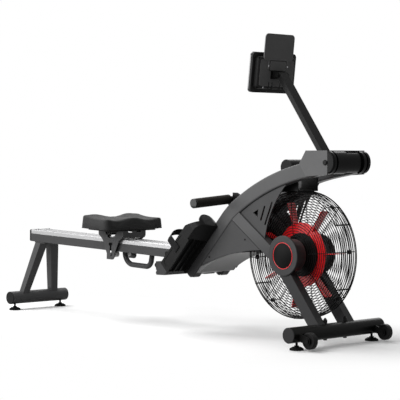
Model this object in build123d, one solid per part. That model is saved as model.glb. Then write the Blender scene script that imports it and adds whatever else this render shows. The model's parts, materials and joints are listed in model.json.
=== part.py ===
from build123d import *
from math import atan2, cos, degrees, radians, sin
import os

# Rowing machine with an air fan, in millimetres: +X is forward, +Z up, the floor is z = 0.
# Sizes are given from the front stabilizer's axis. On export the model moves to the middle of its length.

# Stabilizers, feet and transport wheels
wheel_base = 2059.0
tube_d = 64.0
tube_wall = 2.0
tube_z = 62.0
front_half = 279.5
rear_half = 176.0
cap_t = 4.0
cap_plug = 14.0
front_foot_in = 49.5
rear_foot_in = 32.0
foot_pad_r = 28.7
foot_pad_h = 13.0
foot_stud_r = 5.0
foot_stud_top = 52.0
wheel_r = 34.0
wheel_w = 24.0
wheel_x = 74.0
wheel_in = 49.5
wheel_z = 43.0
wheel_side_gap = 1.0
bracket_t = 4.0
bracket_r = 15.0
bolt_r = 5.0
run_gap = 0.06
leg_bolt_y = 60.5
leg_bolt_r = 4.0
leg_bolt_head_r = 8.0
leg_bolt_nut_r = 9.0
leg_bolt_nut_h = 14.0
leg_bolt_tip = 9.0
seat_gap = 0.3

# Side frames: front leg, diagonal strut and hub drum, welded together on each side
side_y = 110.0
side_t = 40.0
side_wall = 2.5
leg_pitch = 128.7
leg_length = 361.0
leg_w = 52.0
strut_pitch = 144.7
strut_length = 335.0
strut_w = 50.0
hub_x = -189.0
hub_z = 366.0
drum_r = 68.0
drum_wall = 4.0
drum_inner_y = 47.0
belt_side_y = 70.0
hub_cover_r = 84.0
hub_cover_t = 8.0
hub_badge_r = 59.0
hub_badge_depth = 1.5
axle_r = 7.5
bearing_r = 17.5
bearing_w = 10.0

# Curved upper arms
arm_foot_x = -789.0
arm_foot_z = 252.0
arm_pitch = 46.5
arm_straight = 352.0
arm_bend_r = 350.0
arm_bend = -12.0
arm_crown_r = 1030.0
arm_crown = -24.7
arm_nose = 143.0
arm_w = 64.0
arm_inner_y = 62.0
arm_wall = 2.5
arm_edge_r = 7.0
arm_toe_r = 24.0

# Head at the front end of the arms
head_t = 4.0
head_back_x = -98.0
head_back_z = 751.0
head_top_x = -62.0
head_top_z = 805.0
head_front_x = 58.0
head_low_z = 706.0
nose_r = 46.0
nose_reach = 38.0
nose_recess = 10.0
nose_groove = 9.0
head_bolt_x = 47.0
head_bolt_r = 11.0
cross_tube_r = 33.0
cross_tube_x = -222.0
cross_tube_z = 735.0
cross_tube_wall = 2.5

# Monitor mast
mast_pitch = 126.4
mast_foot_x = -68.0
mast_up = 412.0
mast_down = 55.0
mast_w = 50.0
mast_t = 22.0
mast_wall = 2.0
socket_wall = 4.0

# Fan wheel and its cage
cage_r = 270.0
cage_y = 50.0
cage_t = 4.0
cage_wire = 3.0
cage_spoke = 4.0
cage_rings = 10
cage_spokes = 12
cage_rim = 8.0
cage_eye_r = 76.0
cage_clips = 6
cage_clip_r = 3.2
cage_bracket_back = 58.0
cage_bracket_l = 92.0
cage_bracket_h = 60.0
fan_ring_in = 92.0
fan_ring_out = 136.0
fan_ring_t = 6.0
fan_tip_r = 228.0
fan_blades = 7
fan_blade_t = 3.0
fan_blade_root = 32.0
fan_blade_tip = 48.0
fan_phase = 55.0
flywheel_t = 18.0
fan_pulley_r = 20.0

# Drive: strap drum, recoil case, belt
jack_x = -507.5
jack_z = 414.0
jack_r = 8.0
jack_bearing_r = 16.0
drum_core_r = 34.0
drum_flange_r = 41.0
drum_half = 14.0
plate_y = 44.0
plate_t = 6.0
plate_foot_at = 140.0
plate_head_at = 345.0
plate_front = 44.0
plate_boss_r = 9.0
pulley_r = 52.0
pulley_y = 55.0
pulley_w = 12.0
belt_w = 10.0
belt_t = 3.0
recoil_r = 50.0
recoil_w = 15.0

# Handle, its rest and the strap
handle_x = -584.0
handle_z = 593.0
handle_middle = 46.0
handle_side = 216.5
handle_droop = 4.0
handle_bend_r = 60.0
handle_bar_r = 14.0
handle_wall = 2.5
grip_r = 21.0
grip_gap = 4.0
grip_edge_r = 2.0
yoke_r = 18.5
handle_cap_l = 10.0
yoke_half = 16.0
yoke_reach = 25.0
rest_y = 34.0
rest_t = 6.0
rest_beam_x = -531.0
rest_beam_z = 521.0
rest_beam_w = 30.0
rest_tip_up = 29.0
rest_tip_l = 28.0
rest_lip = 10.0
strap_w = 20.0
strap_t = 2.0
roller_r = 12.0
roller_half = 16.0
roller_pin_r = 4.0

# Foot plates on the arms' rear faces, in lengths along the arm and off its face
foot_inner_y = 78.0
foot_outer_y = 215.0
foot_low = -2.0
foot_top = 300.0
foot_toe = 205.0
foot_floor_t = 5.0
foot_wall_h = 51.0
foot_pocket_d = 1.8
foot_pocket_h = 30.0
foot_wall_t = 4.0
foot_corner_r = 45.0
foot_toe_drop = 24.0
foot_slope_at = 235.0
foot_toe_wall_h = 15.0
foot_dome_half = 45.0
foot_dome_t = 9.0
foot_rib_h = 10.0
foot_ribs = 3
heel_tip = -70.0
heel_tip_n = 73.0
heel_brow = -20.0
heel_sole = 27.0
heel_tongue = 62.0
heel_tongue_h = 14.0
heel_tip_r = 9.0
heel_wall_t = 3.0
heel_gap = 0.5
strap_band_w = 36.0
strap_band_t = 3.0
strap_band_at = 122.0
strap_side = 112.0
strap_top = 148.0
strap_band_low = 42.0

# Main beam and the fold hinge of the rail
beam_back_x = -1095.0
beam_front_x = -760.0
beam_z = 272.0
beam_h = 40.0
beam_half = 30.0
beam_wall = 2.5
foot_tube_x = -772.0
foot_tube_r = 18.0
fold_x = -985.0
fold_z = 333.0
fold_pin_r = 8.0
lug_r = 14.0
lug_y = 51.0
knob_r = 15.0
knob_l = 32.0
knob_stem_r = 6.0
knob_stem_l = 30.0

# Rail, rear stand and lift loop
rail_slope = 1.7
rail_half = 55.0
rail_wall = 3.0
rail_h = 40.0
rail_bottom = -17.0
rail_back = 1055.0
rail_front = 25.0
rail_mouth = 28.0
track_h = 20.0
track_half = 54.0
track_edge_r = 4.0
track_groove_w = 26.0
track_groove_d = 2.0
track_groove_y = 34.0
end_cap_t = 14.0
rail_cap_r = 7.0
stop_r = 6.0
stop_h = 7.0
stop_y = 34.0
stop_back = 30.0
stand_plate_l = 84.0
stand_plate_t = 5.0
stand_at = 985.0
stand_top_y = 26.0
stand_top_w = 48.0
stand_top_d = 46.0
stand_low_y = 95.0
stand_low_w = 38.0
stand_low_d = 34.0
stand_wall = 2.5
loop_r = 12.5
loop_back = 372.0
loop_front = 168.0
loop_drop = 74.0
loop_back_r = 58.0
loop_front_r = 36.0
loop_back_turn = 82.0
loop_front_turn = 80.0

# Seat and its carriage, from the seat's centre along the rail
seat_at = 395.0
seat_roller_r = 20.0
seat_roller_w = 20.0
seat_axle_r = 5.0
seat_axle_at = 68.0
low_roller_r = 15.0
low_roller_w = 24.0
low_roller_y = 25.0
cheek_y = 66.0
cheek_t = 4.0
cheek_half = 93.0
cheek_top = 84.0
cheek_arm_w = 44.0
cheek_arm_low = 60.0
cheek_notch_half = 16.0
cheek_notch_low = 46.0
cheek_body_half = 62.0
cheek_body_z = 36.0
cheek_tip_half = 28.0
cheek_tip_low = -57.0
cheek_tip_r = 17.0
cheek_window_w = 28.0
cheek_window_h = 14.0
cheek_window_z = 17.0
cheek_slot_w = 13.0
front_plate_low = 52.0
front_plate_t = 3.0
front_tab_w = 26.0
front_tab_h = 7.0
pan_half_x = 90.0
pan_half_y = 150.0
pan_t = 12.0
pan_corner_r = 30.0
pan_rib_t = 8.0
cushion_half_y = 172.0
cushion_half_x = 102.0
cushion_flare = 9.0
cushion_edge = 12.0
cushion_sag = 7.0
cushion_skirt = 24.0
rear_lobe_h = 61.0
rear_valley_h = 47.0
rear_corner_h = 57.0
front_hump_h = 51.0
front_dip_h = 38.0
front_corner_h = 45.0

# Monitor, in a frame on its tilt pivot that leans forward
monitor_lean = 7.0
monitor_w = 264.0
monitor_low = -82.0
monitor_high = 90.0
monitor_corner_r = 16.0
monitor_back = -34.0
monitor_step = -54.0
monitor_face = -66.0
monitor_face_t = 6.0
monitor_step_in = 17.0
monitor_wall = 2.5
screen_w = 176.0
screen_h = 94.0
screen_up = 26.0
screen_d = 2.0
pivot_r = 5.0
pivot_ear_t = 4.0
pivot_ear_r = 12.0
pivot_plate_half = 20.0
device_w = 176.0
device_low = 56.0
device_high = 172.0
device_mount_w = 118.0
device_t = 4.0
device_corner_r = 18.0
button_w = 34.0
button_h = 14.0
button_low = -50.0
button_at = 40.0
button_proud = 2.0
button_gap = 0.4

# Covers
panel_t = 5.0
panel_in = 1.0
panel_groove = 4.0
panel_groove_d = 2.5
vent_in = 7.0
vent_top = (-160.0, 684.0)
vent_waist = (-269.0, 550.0)
vent_low = (-309.0, 430.0)
vent_back_x = -470.0
vent_back_low = 500.0
vent_back_high = 600.0
vent_slot_w = 9.0
panel_heel = (-728.0, 284.0)
panel_belly = (-500.0, 360.0)
panel_front = (-300.0, 384.0)
panel_top = (-480.0, 560.0)
panel_back = (-690.0, 440.0)
cover_back_z = 257.0
cover_heel = (-718.0, 266.0)
cover_belly = (-600.0, 329.0)
cover_front = (-446.0, 367.0)
cover_t = 3.0
cover_wall_h = 24.0
cover_gap = 4.0
screw_r = 4.0
screw_h = 2.0

front_foot_y = front_half - front_foot_in
rear_foot_y = rear_half - rear_foot_in
wheel_y = front_half - wheel_in
front_reach = wheel_x + wheel_r
middle_shift = (wheel_base + tube_d / 2 - front_reach) / 2


def slab(face, low, high):
    # Plate of an outline drawn in X and Z, from y = low to y = high
    return extrude(Plane.XZ.offset(-high) * face, amount=high - low, dir=(0, -1, 0))


def rod(x, z, radius, low, high):
    # Round bar along Y
    return Pos(x, (low + high) / 2, z) * Rot(90, 0, 0) * Cylinder(radius, high - low)


def pipe(x, z, outer, inner, low, high):
    return rod(x, z, outer, low, high) - rod(x, z, inner, low, high)


def block(x_low, x_high, y_low, y_high, z_low, z_high):
    middle = Pos((x_low + x_high) / 2, (y_low + y_high) / 2, (z_low + z_high) / 2)
    return middle * Box(x_high - x_low, y_high - y_low, z_high - z_low)


def left_of(shape):
    return mirror(shape, about=Plane.XZ)


def pair(shape):
    return [shape, left_of(shape)]


def save(name, *solids):
    whole = Compound([piece for solid in solids for piece in solid.solids()])
    export_step(Pos(middle_shift, 0, 0) * whole, f"parts/{name}.step")


def beam_outline(start, pitch, low, high, width):
    # Rectangle along a line that leaves start at an angle, from low to high along it
    return Pos(*start) * Rot(0, 0, pitch) * Pos((low + high) / 2, 0) * Rectangle(high - low, width)


def walk(point, heading, length, turn):
    # End of a straight run, or of an arc of this length that turns by this angle
    half = radians(turn) / 2
    chord = length if turn == 0 else length * sin(half) / half
    way = radians(heading) + half
    return (point[0] + chord * cos(way), point[1] + chord * sin(way)), heading + turn


def beside(point, heading, off):
    way = radians(heading)
    return (point[0] - off * sin(way), point[1] + off * cos(way))


def course(start, heading, runs, off):
    # Straight runs and tangent arcs, drawn at a distance beside their line
    edges = []
    point = start
    for length, turn in runs:
        middle, mid_heading = walk(point, heading, length / 2, turn / 2)
        end, end_heading = walk(point, heading, length, turn)
        a = beside(point, heading, off)
        b = beside(end, end_heading, off)
        edges.append(Line(a, b) if turn == 0 else ThreePointArc(a, beside(middle, mid_heading, off), b))
        point, heading = end, end_heading
    return edges


def strip(start, heading, runs, half):
    # Outline of even width along straight runs and tangent arcs
    upper = course(start, heading, runs, half)
    lower = course(start, heading, runs, -half)
    ends = [Line(upper[0] @ 0, lower[0] @ 0), Line(upper[-1] @ 1, lower[-1] @ 1)]
    return make_face(upper + lower + ends)


def arc_length(radius, turn):
    return radius * radians(abs(turn))


def rounded_sides(solid, radius):
    # Rounds the long edges of a plate that lies in the XZ plane, on both of its broad faces
    faces = solid.faces().sort_by(Axis.Y)
    return fillet(faces[0].edges() + faces[-1].edges(), radius)


# Front stabilizer with foot sockets and the wheels' forks
def foot_socket(x, y):
    # Threaded boss inside the tube, over a foot
    low = tube_z - tube_d / 2 + tube_wall / 2
    return Pos(x, y, (low + foot_stud_top) / 2) * Cylinder(2 * foot_stud_r, foot_stud_top - low)


def foot_bore(x, y):
    return Pos(x, y, tube_z / 2) * Cylinder(foot_stud_r + run_gap, tube_z)


def stabilizer(x, half, foot_y):
    length = half - cap_t
    tube = pipe(x, tube_z, tube_d / 2, tube_d / 2 - tube_wall, -length, length)
    for y in (-foot_y, foot_y):
        tube = tube + (foot_socket(x, y) & rod(x, tube_z, tube_d / 2 - tube_wall / 2, -length, length))
        tube = tube - foot_bore(x, y)
    return tube


def end_cap(x, half):
    # Plug with a rounded flange at the -Y end of a stabilizer
    flange = rod(x, tube_z, tube_d / 2, -half, cap_t - half)
    flange = fillet(flange.faces().sort_by(Axis.Y)[0].edges(), cap_t / 2)
    plug = rod(x, tube_z, tube_d / 2 - tube_wall - seat_gap, cap_t - half, cap_t + cap_plug - half)
    return flange + plug


def wheel_fork():
    # Two cheeks that carry a transport wheel on the -Y side
    reach = ((wheel_x**2) + (wheel_z - tube_z) ** 2) ** 0.5
    tilt = degrees(atan2(wheel_z - tube_z, wheel_x))
    face = Pos(wheel_x / 2, (wheel_z + tube_z) / 2) * SlotCenterToCenter(reach, 2 * bracket_r, rotation=tilt)
    face = face - Pos(wheel_x, wheel_z) * Circle(bolt_r + run_gap)
    inner = wheel_w / 2 + wheel_side_gap
    cheeks = slab(face, -wheel_y - inner - bracket_t, -wheel_y - inner)
    cheeks = cheeks + slab(face, -wheel_y + inner, -wheel_y + inner + bracket_t)
    return cheeks - rod(0, tube_z, tube_d / 2 - tube_wall / 2, -front_half, front_half)


front_stabilizer = stabilizer(0, front_half, front_foot_y)
for fork in pair(wheel_fork()):
    front_stabilizer = front_stabilizer + fork
for y in (-leg_bolt_y, leg_bolt_y):
    front_stabilizer = front_stabilizer - Pos(0, y, tube_z) * Cylinder(leg_bolt_r + run_gap, 2 * tube_d)


def leg_bolt():
    # Bolt through the front stabilizer beside a leg, with its head below and a capped nut above
    low = tube_z - tube_d / 2 - seat_gap
    high = tube_z + tube_d / 2 + seat_gap
    tip = high + leg_bolt_nut_h + leg_bolt_tip
    profile = Polyline(
        (0, low - leg_bolt_r),
        (leg_bolt_head_r, low - leg_bolt_r),
        (leg_bolt_head_r, low),
        (leg_bolt_r, low),
        (leg_bolt_r, high),
        (leg_bolt_nut_r, high),
        (leg_bolt_nut_r, high + leg_bolt_nut_h),
        (0.6 * leg_bolt_nut_r, high + leg_bolt_nut_h + leg_bolt_tip / 2),
        (0.4 * leg_bolt_nut_r, tip),
        (0, tip),
        close=True,
    )
    return Pos(0, -leg_bolt_y, 0) * revolve(Plane.XZ * make_face(profile), Axis.Z)


def transport_wheel():
    wheel = rod(wheel_x, wheel_z, wheel_r, -wheel_y - wheel_w / 2, -wheel_y + wheel_w / 2)
    wheel = fillet(wheel.edges(), wheel_w / 6)
    for y in (-wheel_y - wheel_w / 2, -wheel_y + wheel_w / 2):
        wheel = wheel - pipe(wheel_x, wheel_z, 0.76 * wheel_r, 0.36 * wheel_r, y - 3, y + 3)
    return wheel - rod(wheel_x, wheel_z, bolt_r + run_gap, -wheel_y - wheel_w, -wheel_y + wheel_w)


def wheel_bolt():
    out = wheel_w / 2 + wheel_side_gap + bracket_t
    shank = rod(wheel_x, wheel_z, bolt_r, -wheel_y - out, -wheel_y + out)
    head = rod(wheel_x, wheel_z, 1.8 * bolt_r, -wheel_y - out - bolt_r, -wheel_y - out)
    nut = rod(wheel_x, wheel_z, 1.7 * bolt_r, -wheel_y + out, -wheel_y + out + bolt_r)
    return shank + head + nut


def foot(x, y):
    # Levelling foot: a domed pad on a threaded stud
    profile = Polyline(
        (0, 0),
        (foot_pad_r, 0),
        (foot_pad_r, foot_pad_h / 2),
        (0.62 * foot_pad_r, foot_pad_h),
        (2 * foot_stud_r, foot_pad_h),
        (2 * foot_stud_r, foot_pad_h + 5),
        (foot_stud_r, foot_pad_h + 5),
        (foot_stud_r, foot_stud_top - 4),
        (0, foot_stud_top - 4),
        close=True,
    )
    return Pos(x, y, 0) * revolve(Plane.XZ * make_face(profile), Axis.Z)


# Arms
arm_foot = (arm_foot_x, arm_foot_z)
arm_runs = [
    (arm_straight, 0),
    (arc_length(arm_bend_r, arm_bend), arm_bend),
    (arc_length(arm_crown_r, arm_crown), arm_crown),
    (arm_nose, 0),
]
arm_outline = strip(arm_foot, arm_pitch, arm_runs, arm_w / 2)
arm_outline = fillet(arm_outline.vertices().sort_by(Axis.X)[:2], arm_toe_r)
arm_solid = rounded_sides(slab(arm_outline, -side_y, -arm_inner_y), arm_edge_r)
arm_hollow = strip(arm_foot, arm_pitch, arm_runs, arm_w / 2 - arm_wall)
arm_hollow = slab(arm_hollow, -side_y + arm_wall, -arm_inner_y - arm_wall)
arm_shape = slab(arm_outline, -side_y, -arm_inner_y)
past_head = block(head_front_x - seat_gap, wheel_base, -side_y, side_y, 0, wheel_base)
arm_right = arm_solid - arm_hollow - past_head

# Side frame
leg_foot = (0, tube_z)
knee, _ = walk(leg_foot, leg_pitch, leg_length, 0)
leg_outline = beam_outline(leg_foot, leg_pitch, 0, leg_length + leg_w / 3, leg_w)
strut_outline = beam_outline(knee, strut_pitch, -strut_w / 3, strut_length, strut_w)
side_outline = leg_outline + strut_outline
side_hollow = beam_outline(leg_foot, leg_pitch, 0, leg_length, leg_w - 2 * side_wall)
side_hollow = side_hollow + beam_outline(knee, strut_pitch, 0, strut_length, strut_w - 2 * side_wall)
side_solid = slab(side_outline, -side_y, side_t - side_y)
side_cavity = slab(side_hollow, -side_y + side_wall, side_t - side_y - side_wall)
stabilizer_room = rod(0, tube_z, tube_d / 2, -front_half, front_half)


def hub_drum(inner_y):
    # Bearing housing on the -Y side, a closed drum with a web around the bearing
    web = bearing_w / 2
    shell = rod(hub_x, hub_z, drum_r, -side_y, -inner_y)
    low = -side_y
    high = -inner_y - drum_wall
    middle = (low + high) / 2
    room = rod(hub_x, hub_z, drum_r - drum_wall, low, high)
    room = room - rod(hub_x, hub_z, drum_r, middle - web, middle + web)
    bore = rod(hub_x, hub_z, bearing_r, low, high)
    mouth = rod(hub_x, hub_z, 1.6 * axle_r, -side_y, 0)
    return shell - room - bore - mouth, middle


def side_frame(inner_y):
    drum, bearing_y = hub_drum(inner_y)
    body = side_solid - side_cavity - stabilizer_room - arm_shape
    body = body - rod(hub_x, hub_z, drum_r, -side_y, -belt_side_y)
    body = body.solids().sort_by(SortBy.VOLUME)[-1]
    return body + drum, bearing_y


side_frame_right, bearing_right_y = side_frame(drum_inner_y)
side_frame_mirror, bearing_left_y = side_frame(belt_side_y)
side_frame_left = left_of(side_frame_mirror)


def hub_cover():
    disc = rod(hub_x, hub_z, hub_cover_r, -side_y - hub_cover_t, -side_y)
    disc = fillet(disc.faces().sort_by(Axis.Y)[0].edges(), hub_cover_t / 3)
    face_y = -side_y - hub_cover_t
    return disc - rod(hub_x, hub_z, hub_badge_r, face_y, face_y + hub_badge_depth)


def bearing(x, z, outer, inner, y, width):
    ring = pipe(x, z, outer - run_gap / 2, inner + run_gap / 2, y - width / 2, y + width / 2)
    groove = 0.25 * (outer - inner)
    for side in (-1, 1):
        edge = y + side * width / 2
        ring = ring - pipe(x, z, outer - groove, inner + groove, edge - 1, edge + 1)
    return ring


# Fan, flywheel and axle
def fan_blade(angle):
    # Paddle that stands square to the wheel, wider at its tip
    root = fan_ring_in + 0.7 * (fan_ring_out - fan_ring_in)
    shape = Polygon(
        (root, -fan_blade_root / 2),
        (fan_tip_r, -fan_blade_tip / 2),
        (fan_tip_r, fan_blade_tip / 2),
        (root, fan_blade_root / 2),
        align=None,
    )
    shape = fillet(shape.vertices().sort_by(Axis.X)[-2:], fan_blade_tip / 6)
    blade = Pos(0, 0, -fan_blade_t / 2) * extrude(shape, amount=fan_blade_t)
    return Pos(hub_x, 0, hub_z) * Rot(0, -angle, 0) * blade


fan_wheel = pipe(hub_x, hub_z, fan_ring_out, fan_ring_in, -fan_ring_t / 2, fan_ring_t / 2)
for index in range(fan_blades):
    fan_wheel = fan_wheel + fan_blade(fan_phase + 360 * index / fan_blades)

axle_half = side_y - 6
fan_axle = rod(hub_x, hub_z, axle_r, -axle_half, axle_half)
fan_axle = fan_axle + rod(hub_x, hub_z, fan_ring_in, -flywheel_t / 2, flywheel_t / 2)
fan_axle = fan_axle - pipe(hub_x, hub_z, 0.86 * fan_ring_in, 3.2 * axle_r, -flywheel_t / 2, -flywheel_t / 4)
fan_axle = fan_axle - pipe(hub_x, hub_z, 0.86 * fan_ring_in, 3.2 * axle_r, flywheel_t / 4, flywheel_t / 2)
fan_pulley = rod(hub_x, hub_z, fan_pulley_r, pulley_y, pulley_y + pulley_w)
fan_axle = fan_axle + fan_pulley


# Cage halves: one pierced disc each
def ring_gap(inner, outer, start, end):
    # Outline of one opening between two rings and two spokes
    def at(radius, angle):
        return (radius * cos(angle), radius * sin(angle))

    turn_in = cage_spoke / 2 / inner
    turn_out = cage_spoke / 2 / outer
    middle = (start + end) / 2
    return Wire(
        [
            ThreePointArc(at(inner, start + turn_in), at(inner, middle), at(inner, end - turn_in)),
            Line(at(inner, end - turn_in), at(outer, end - turn_out)),
            ThreePointArc(at(outer, end - turn_out), at(outer, middle), at(outer, start + turn_out)),
            Line(at(outer, start + turn_out), at(inner, start + turn_in)),
        ]
    )


def cage_half(eye_r):
    pitch = (cage_r - cage_rim - cage_eye_r) / cage_rings
    step = radians(360 / cage_spokes)
    gaps = [Wire.make_circle(eye_r)]
    for ring in range(cage_rings):
        inner = cage_eye_r + ring * pitch + cage_wire / 2
        for spoke in range(cage_spokes):
            gaps.append(ring_gap(inner, inner + pitch - cage_wire, spoke * step, (spoke + 1) * step))
    face = Face(Wire.make_circle(cage_r), gaps)
    return slab(Pos(hub_x, hub_z) * face, -cage_y, cage_t - cage_y)


cage_left = left_of(cage_half(2.5 * axle_r))
cage_right = cage_half(drum_r + seat_gap)
cage_spacers = []
for index in range(cage_clips):
    angle = radians(30 + 360 * index / cage_clips)
    clip_r = cage_r - cage_rim / 2
    clip_x = hub_x + clip_r * cos(angle)
    clip_z = hub_z + clip_r * sin(angle)
    cage_spacers.append(rod(clip_x, clip_z, cage_clip_r, cage_t - cage_y, cage_y - cage_t))

# Bracket between the arms that holds the top of the cage
bracket_back_x = hub_x - cage_bracket_back
bracket_front_x = bracket_back_x + cage_bracket_l
bracket_top_z = hub_z + cage_r + cage_bracket_h
bracket_hull = block(bracket_back_x, bracket_front_x, -arm_inner_y, arm_inner_y, hub_z, bracket_top_z)
bracket_inner = arm_inner_y - panel_t
bracket_room = block(bracket_back_x, bracket_front_x, -bracket_inner, bracket_inner, hub_z, bracket_top_z)
bracket_room = bracket_room - rod(hub_x, hub_z, cage_r + seat_gap + panel_t, -side_y, side_y)
cage_bracket = bracket_hull - bracket_room - rod(hub_x, hub_z, cage_r + seat_gap, -side_y, side_y)

# Cross tube that ties the arms
cross_tube = pipe(
    cross_tube_x, cross_tube_z, cross_tube_r, cross_tube_r - cross_tube_wall, -arm_inner_y, arm_inner_y
)
for y in (-arm_inner_y, arm_inner_y - cross_tube_wall):
    cross_tube = cross_tube + rod(cross_tube_x, cross_tube_z, cross_tube_r, y, y + cross_tube_wall)

# Head shell with the mast socket, and the nose cover in front of it
head_outline = Polygon(
    (head_back_x, head_back_z),
    (head_top_x, head_top_z),
    (head_front_x, head_top_z),
    (head_front_x, head_low_z),
    (head_top_x, head_low_z - 7),
    align=None,
)
head_room = Polygon(
    (head_back_x + head_t, head_back_z - head_t),
    (head_top_x + head_t / 2, head_top_z - head_t),
    (head_front_x, head_top_z - head_t),
    (head_front_x, head_low_z - 60),
    (head_back_x - 60, head_low_z - 60),
    align=None,
)
head_shell = slab(head_outline, -side_y - head_t, side_y + head_t) - slab(head_room, -side_y, side_y)
mast_foot = (mast_foot_x, head_top_z)


def mast_bar(width, thick, low, high):
    # Straight bar along the mast's line, from low to high above the head
    return slab(beam_outline(mast_foot, mast_pitch, low, high, thick), -width / 2, width / 2)


mast_room = mast_bar(mast_w + seat_gap, mast_t + seat_gap, -mast_down, mast_up)
socket = mast_bar(mast_w + 2 * socket_wall, mast_t + 2 * socket_wall, -mast_down - socket_wall, mast_t)
socket = socket & block(-wheel_base, wheel_base, -side_y, side_y, 0, head_top_z - head_t / 2)
head_shell = head_shell + socket - mast_room
arm_room = slab(strip(arm_foot, arm_pitch, arm_runs, arm_w / 2 + seat_gap), -side_y, -arm_inner_y)
for room in pair(arm_room):
    head_shell = head_shell - room
pivot_x, pivot_z = walk(mast_foot, mast_pitch, mast_up - mast_t / 2, 0)[0]
mast = mast_bar(mast_w, mast_t, -mast_down, mast_up)
mast = fillet(mast.edges().filter_by(Axis.Y).sort_by(Axis.Z)[-2:], mast_t / 2.2)
mast_bore = mast_bar(mast_w - 2 * mast_wall, mast_t - 2 * mast_wall, mast_wall - mast_down, mast_up - mast_t)
mast = mast - mast_bore
mast = mast - rod(pivot_x, pivot_z, pivot_r + run_gap, -mast_w, mast_w)

nose_z = (head_top_z + head_low_z) / 2
nose_half = side_y + head_t
nose_face = Pos(head_front_x, nose_z) * Ellipse(nose_reach, nose_r)
nose_face = nose_face & Pos(head_front_x + nose_reach / 2, nose_z) * Rectangle(nose_reach, 2 * nose_r)
head_nose = slab(nose_face, -nose_half, nose_half)
head_nose = fillet(head_nose.faces().sort_by(Axis.Y)[0].edges().sort_by(Axis.X)[-1], 6)
head_nose = fillet(head_nose.faces().sort_by(Axis.Y)[-1].edges().sort_by(Axis.X)[-1], 6)
nose_slim = Pos(head_front_x, nose_z) * Ellipse(nose_reach - nose_recess, nose_r - nose_recess / 2)
nose_dip = nose_face - nose_slim
head_nose = head_nose - slab(nose_dip, -nose_half / 6, nose_half / 1.6)
nose_wall = nose_recess + head_t
nose_room = Pos(head_front_x, nose_z) * Ellipse(nose_reach - nose_wall, nose_r - nose_wall)
head_nose = head_nose - slab(nose_room, nose_wall - nose_half, nose_half - nose_wall)
for y in (-nose_half + 2 * nose_groove, nose_half - 3 * nose_groove):
    head_nose = head_nose - slab(nose_dip, y, y + nose_groove)

# Main beam with the foot tube and the fold hinge's lugs
beam_low = beam_z - beam_h / 2
beam_high = beam_z + beam_h / 2
main_beam = block(beam_back_x, beam_front_x, -beam_half, beam_half, beam_low, beam_high)
beam_room = beam_half - beam_wall
beam_floor = beam_low + beam_wall
beam_roof = beam_high - beam_wall
beam_end = beam_back_x + 2 * beam_wall
main_beam = main_beam - block(beam_end, beam_front_x, -beam_room, beam_room, beam_floor, beam_roof)
foot_tube = pipe(foot_tube_x, beam_z, foot_tube_r, foot_tube_r - beam_wall, -arm_inner_y, arm_inner_y)
foot_bore_r = foot_tube_r - beam_wall
main_beam = main_beam - rod(foot_tube_x, beam_z, foot_bore_r, -arm_inner_y, arm_inner_y) + foot_tube
lug_outline = Pos(fold_x, (fold_z + beam_low) / 2) * Rectangle(2 * lug_r, fold_z - beam_low)
lug_outline = lug_outline + Pos(fold_x, fold_z) * Circle(lug_r)
for lug in pair(slab(lug_outline, -lug_y, -beam_half)):
    main_beam = main_beam + lug
main_beam = main_beam - rod(fold_x, fold_z, fold_pin_r + run_gap, -lug_y, lug_y)
knob_hole = Rot(0, 90, 0) * Cylinder(knob_stem_r + run_gap, 8 * beam_wall)
main_beam = main_beam - Pos(beam_back_x, 0, beam_z) * knob_hole
fold_pin = rod(fold_x, fold_z, fold_pin_r, -rail_half - 2, rail_half + 2)
for y in (-rail_half - 6, rail_half + 1):
    fold_pin = fold_pin + rod(fold_x, fold_z, 1.5 * fold_pin_r, y, y + 5)

knob_profile = Polyline(
    (0, 0),
    (0.7 * knob_r, 0),
    (knob_r, 0.25 * knob_l),
    (knob_r, 0.6 * knob_l),
    (0.6 * knob_r, 0.85 * knob_l),
    (0.6 * knob_r, knob_l),
    (knob_stem_r, knob_l),
    (knob_stem_r, knob_l + knob_stem_l),
    (0, knob_l + knob_stem_l),
    close=True,
)
lock_knob = revolve(Plane.XZ * make_face(knob_profile), Axis.Z)
for index in range(6):
    flute = Rot(0, 0, 60 * index) * Pos(1.25 * knob_r, 0, 0.2 * knob_l) * Cylinder(0.4 * knob_r, 1.3 * knob_l)
    lock_knob = lock_knob - flute
lock_knob = Pos(beam_back_x - knob_l, 0, beam_z) * Rot(0, 90, 0) * lock_knob


# Rail parts lie in a frame on the fold hinge, whose X runs up the rail's slope towards the front
rail_frame = Pos(fold_x, 0, fold_z) * Rot(0, rail_slope, 0)
rail_top = rail_bottom + rail_h
track_top = rail_top + track_h
rail_room = rail_half - rail_wall
rail_beam = block(-rail_back, rail_front, -rail_half, rail_half, rail_bottom, rail_top)
rail_edges = rail_beam.edges().filter_by(Axis.X).sort_by(Axis.Z)[:2]
rail_beam = fillet(rail_edges, rail_wall)
rail_beam = rail_beam - block(
    -rail_back, rail_front, -rail_room, rail_room, rail_bottom + rail_wall, rail_top - rail_wall
)
rail_roof = rail_top - rail_wall
rail_beam = rail_beam - block(-rail_mouth, rail_front, -rail_room, rail_room, rail_bottom, rail_roof)
rail_beam = rail_beam - rod(0, 0, fold_pin_r + run_gap, -rail_half, rail_half)
rail_track = block(-rail_back, rail_front, -track_half, track_half, rail_top, track_top)
rail_track = fillet(rail_track.edges().filter_by(Axis.X).sort_by(Axis.Z)[-2:], track_edge_r)
groove_top = track_top - track_groove_d
for y in (-track_groove_y, track_groove_y):
    y_ends = (y - track_groove_w / 2, y + track_groove_w / 2)
    rail_track = rail_track - block(-rail_back, rail_front, *y_ends, groove_top, track_top)
cap_face = Pos(0, (rail_bottom + track_top) / 2) * Rectangle(2 * rail_half, track_top - rail_bottom)
cap_face = fillet(cap_face.vertices(), rail_cap_r)
rail_cap = Pos(-rail_back, 0, 0) * extrude(Plane.YZ * cap_face, amount=-end_cap_t)
rail_cap = fillet(rail_cap.faces().sort_by(Axis.X)[0].edges(), end_cap_t / 3)
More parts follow.
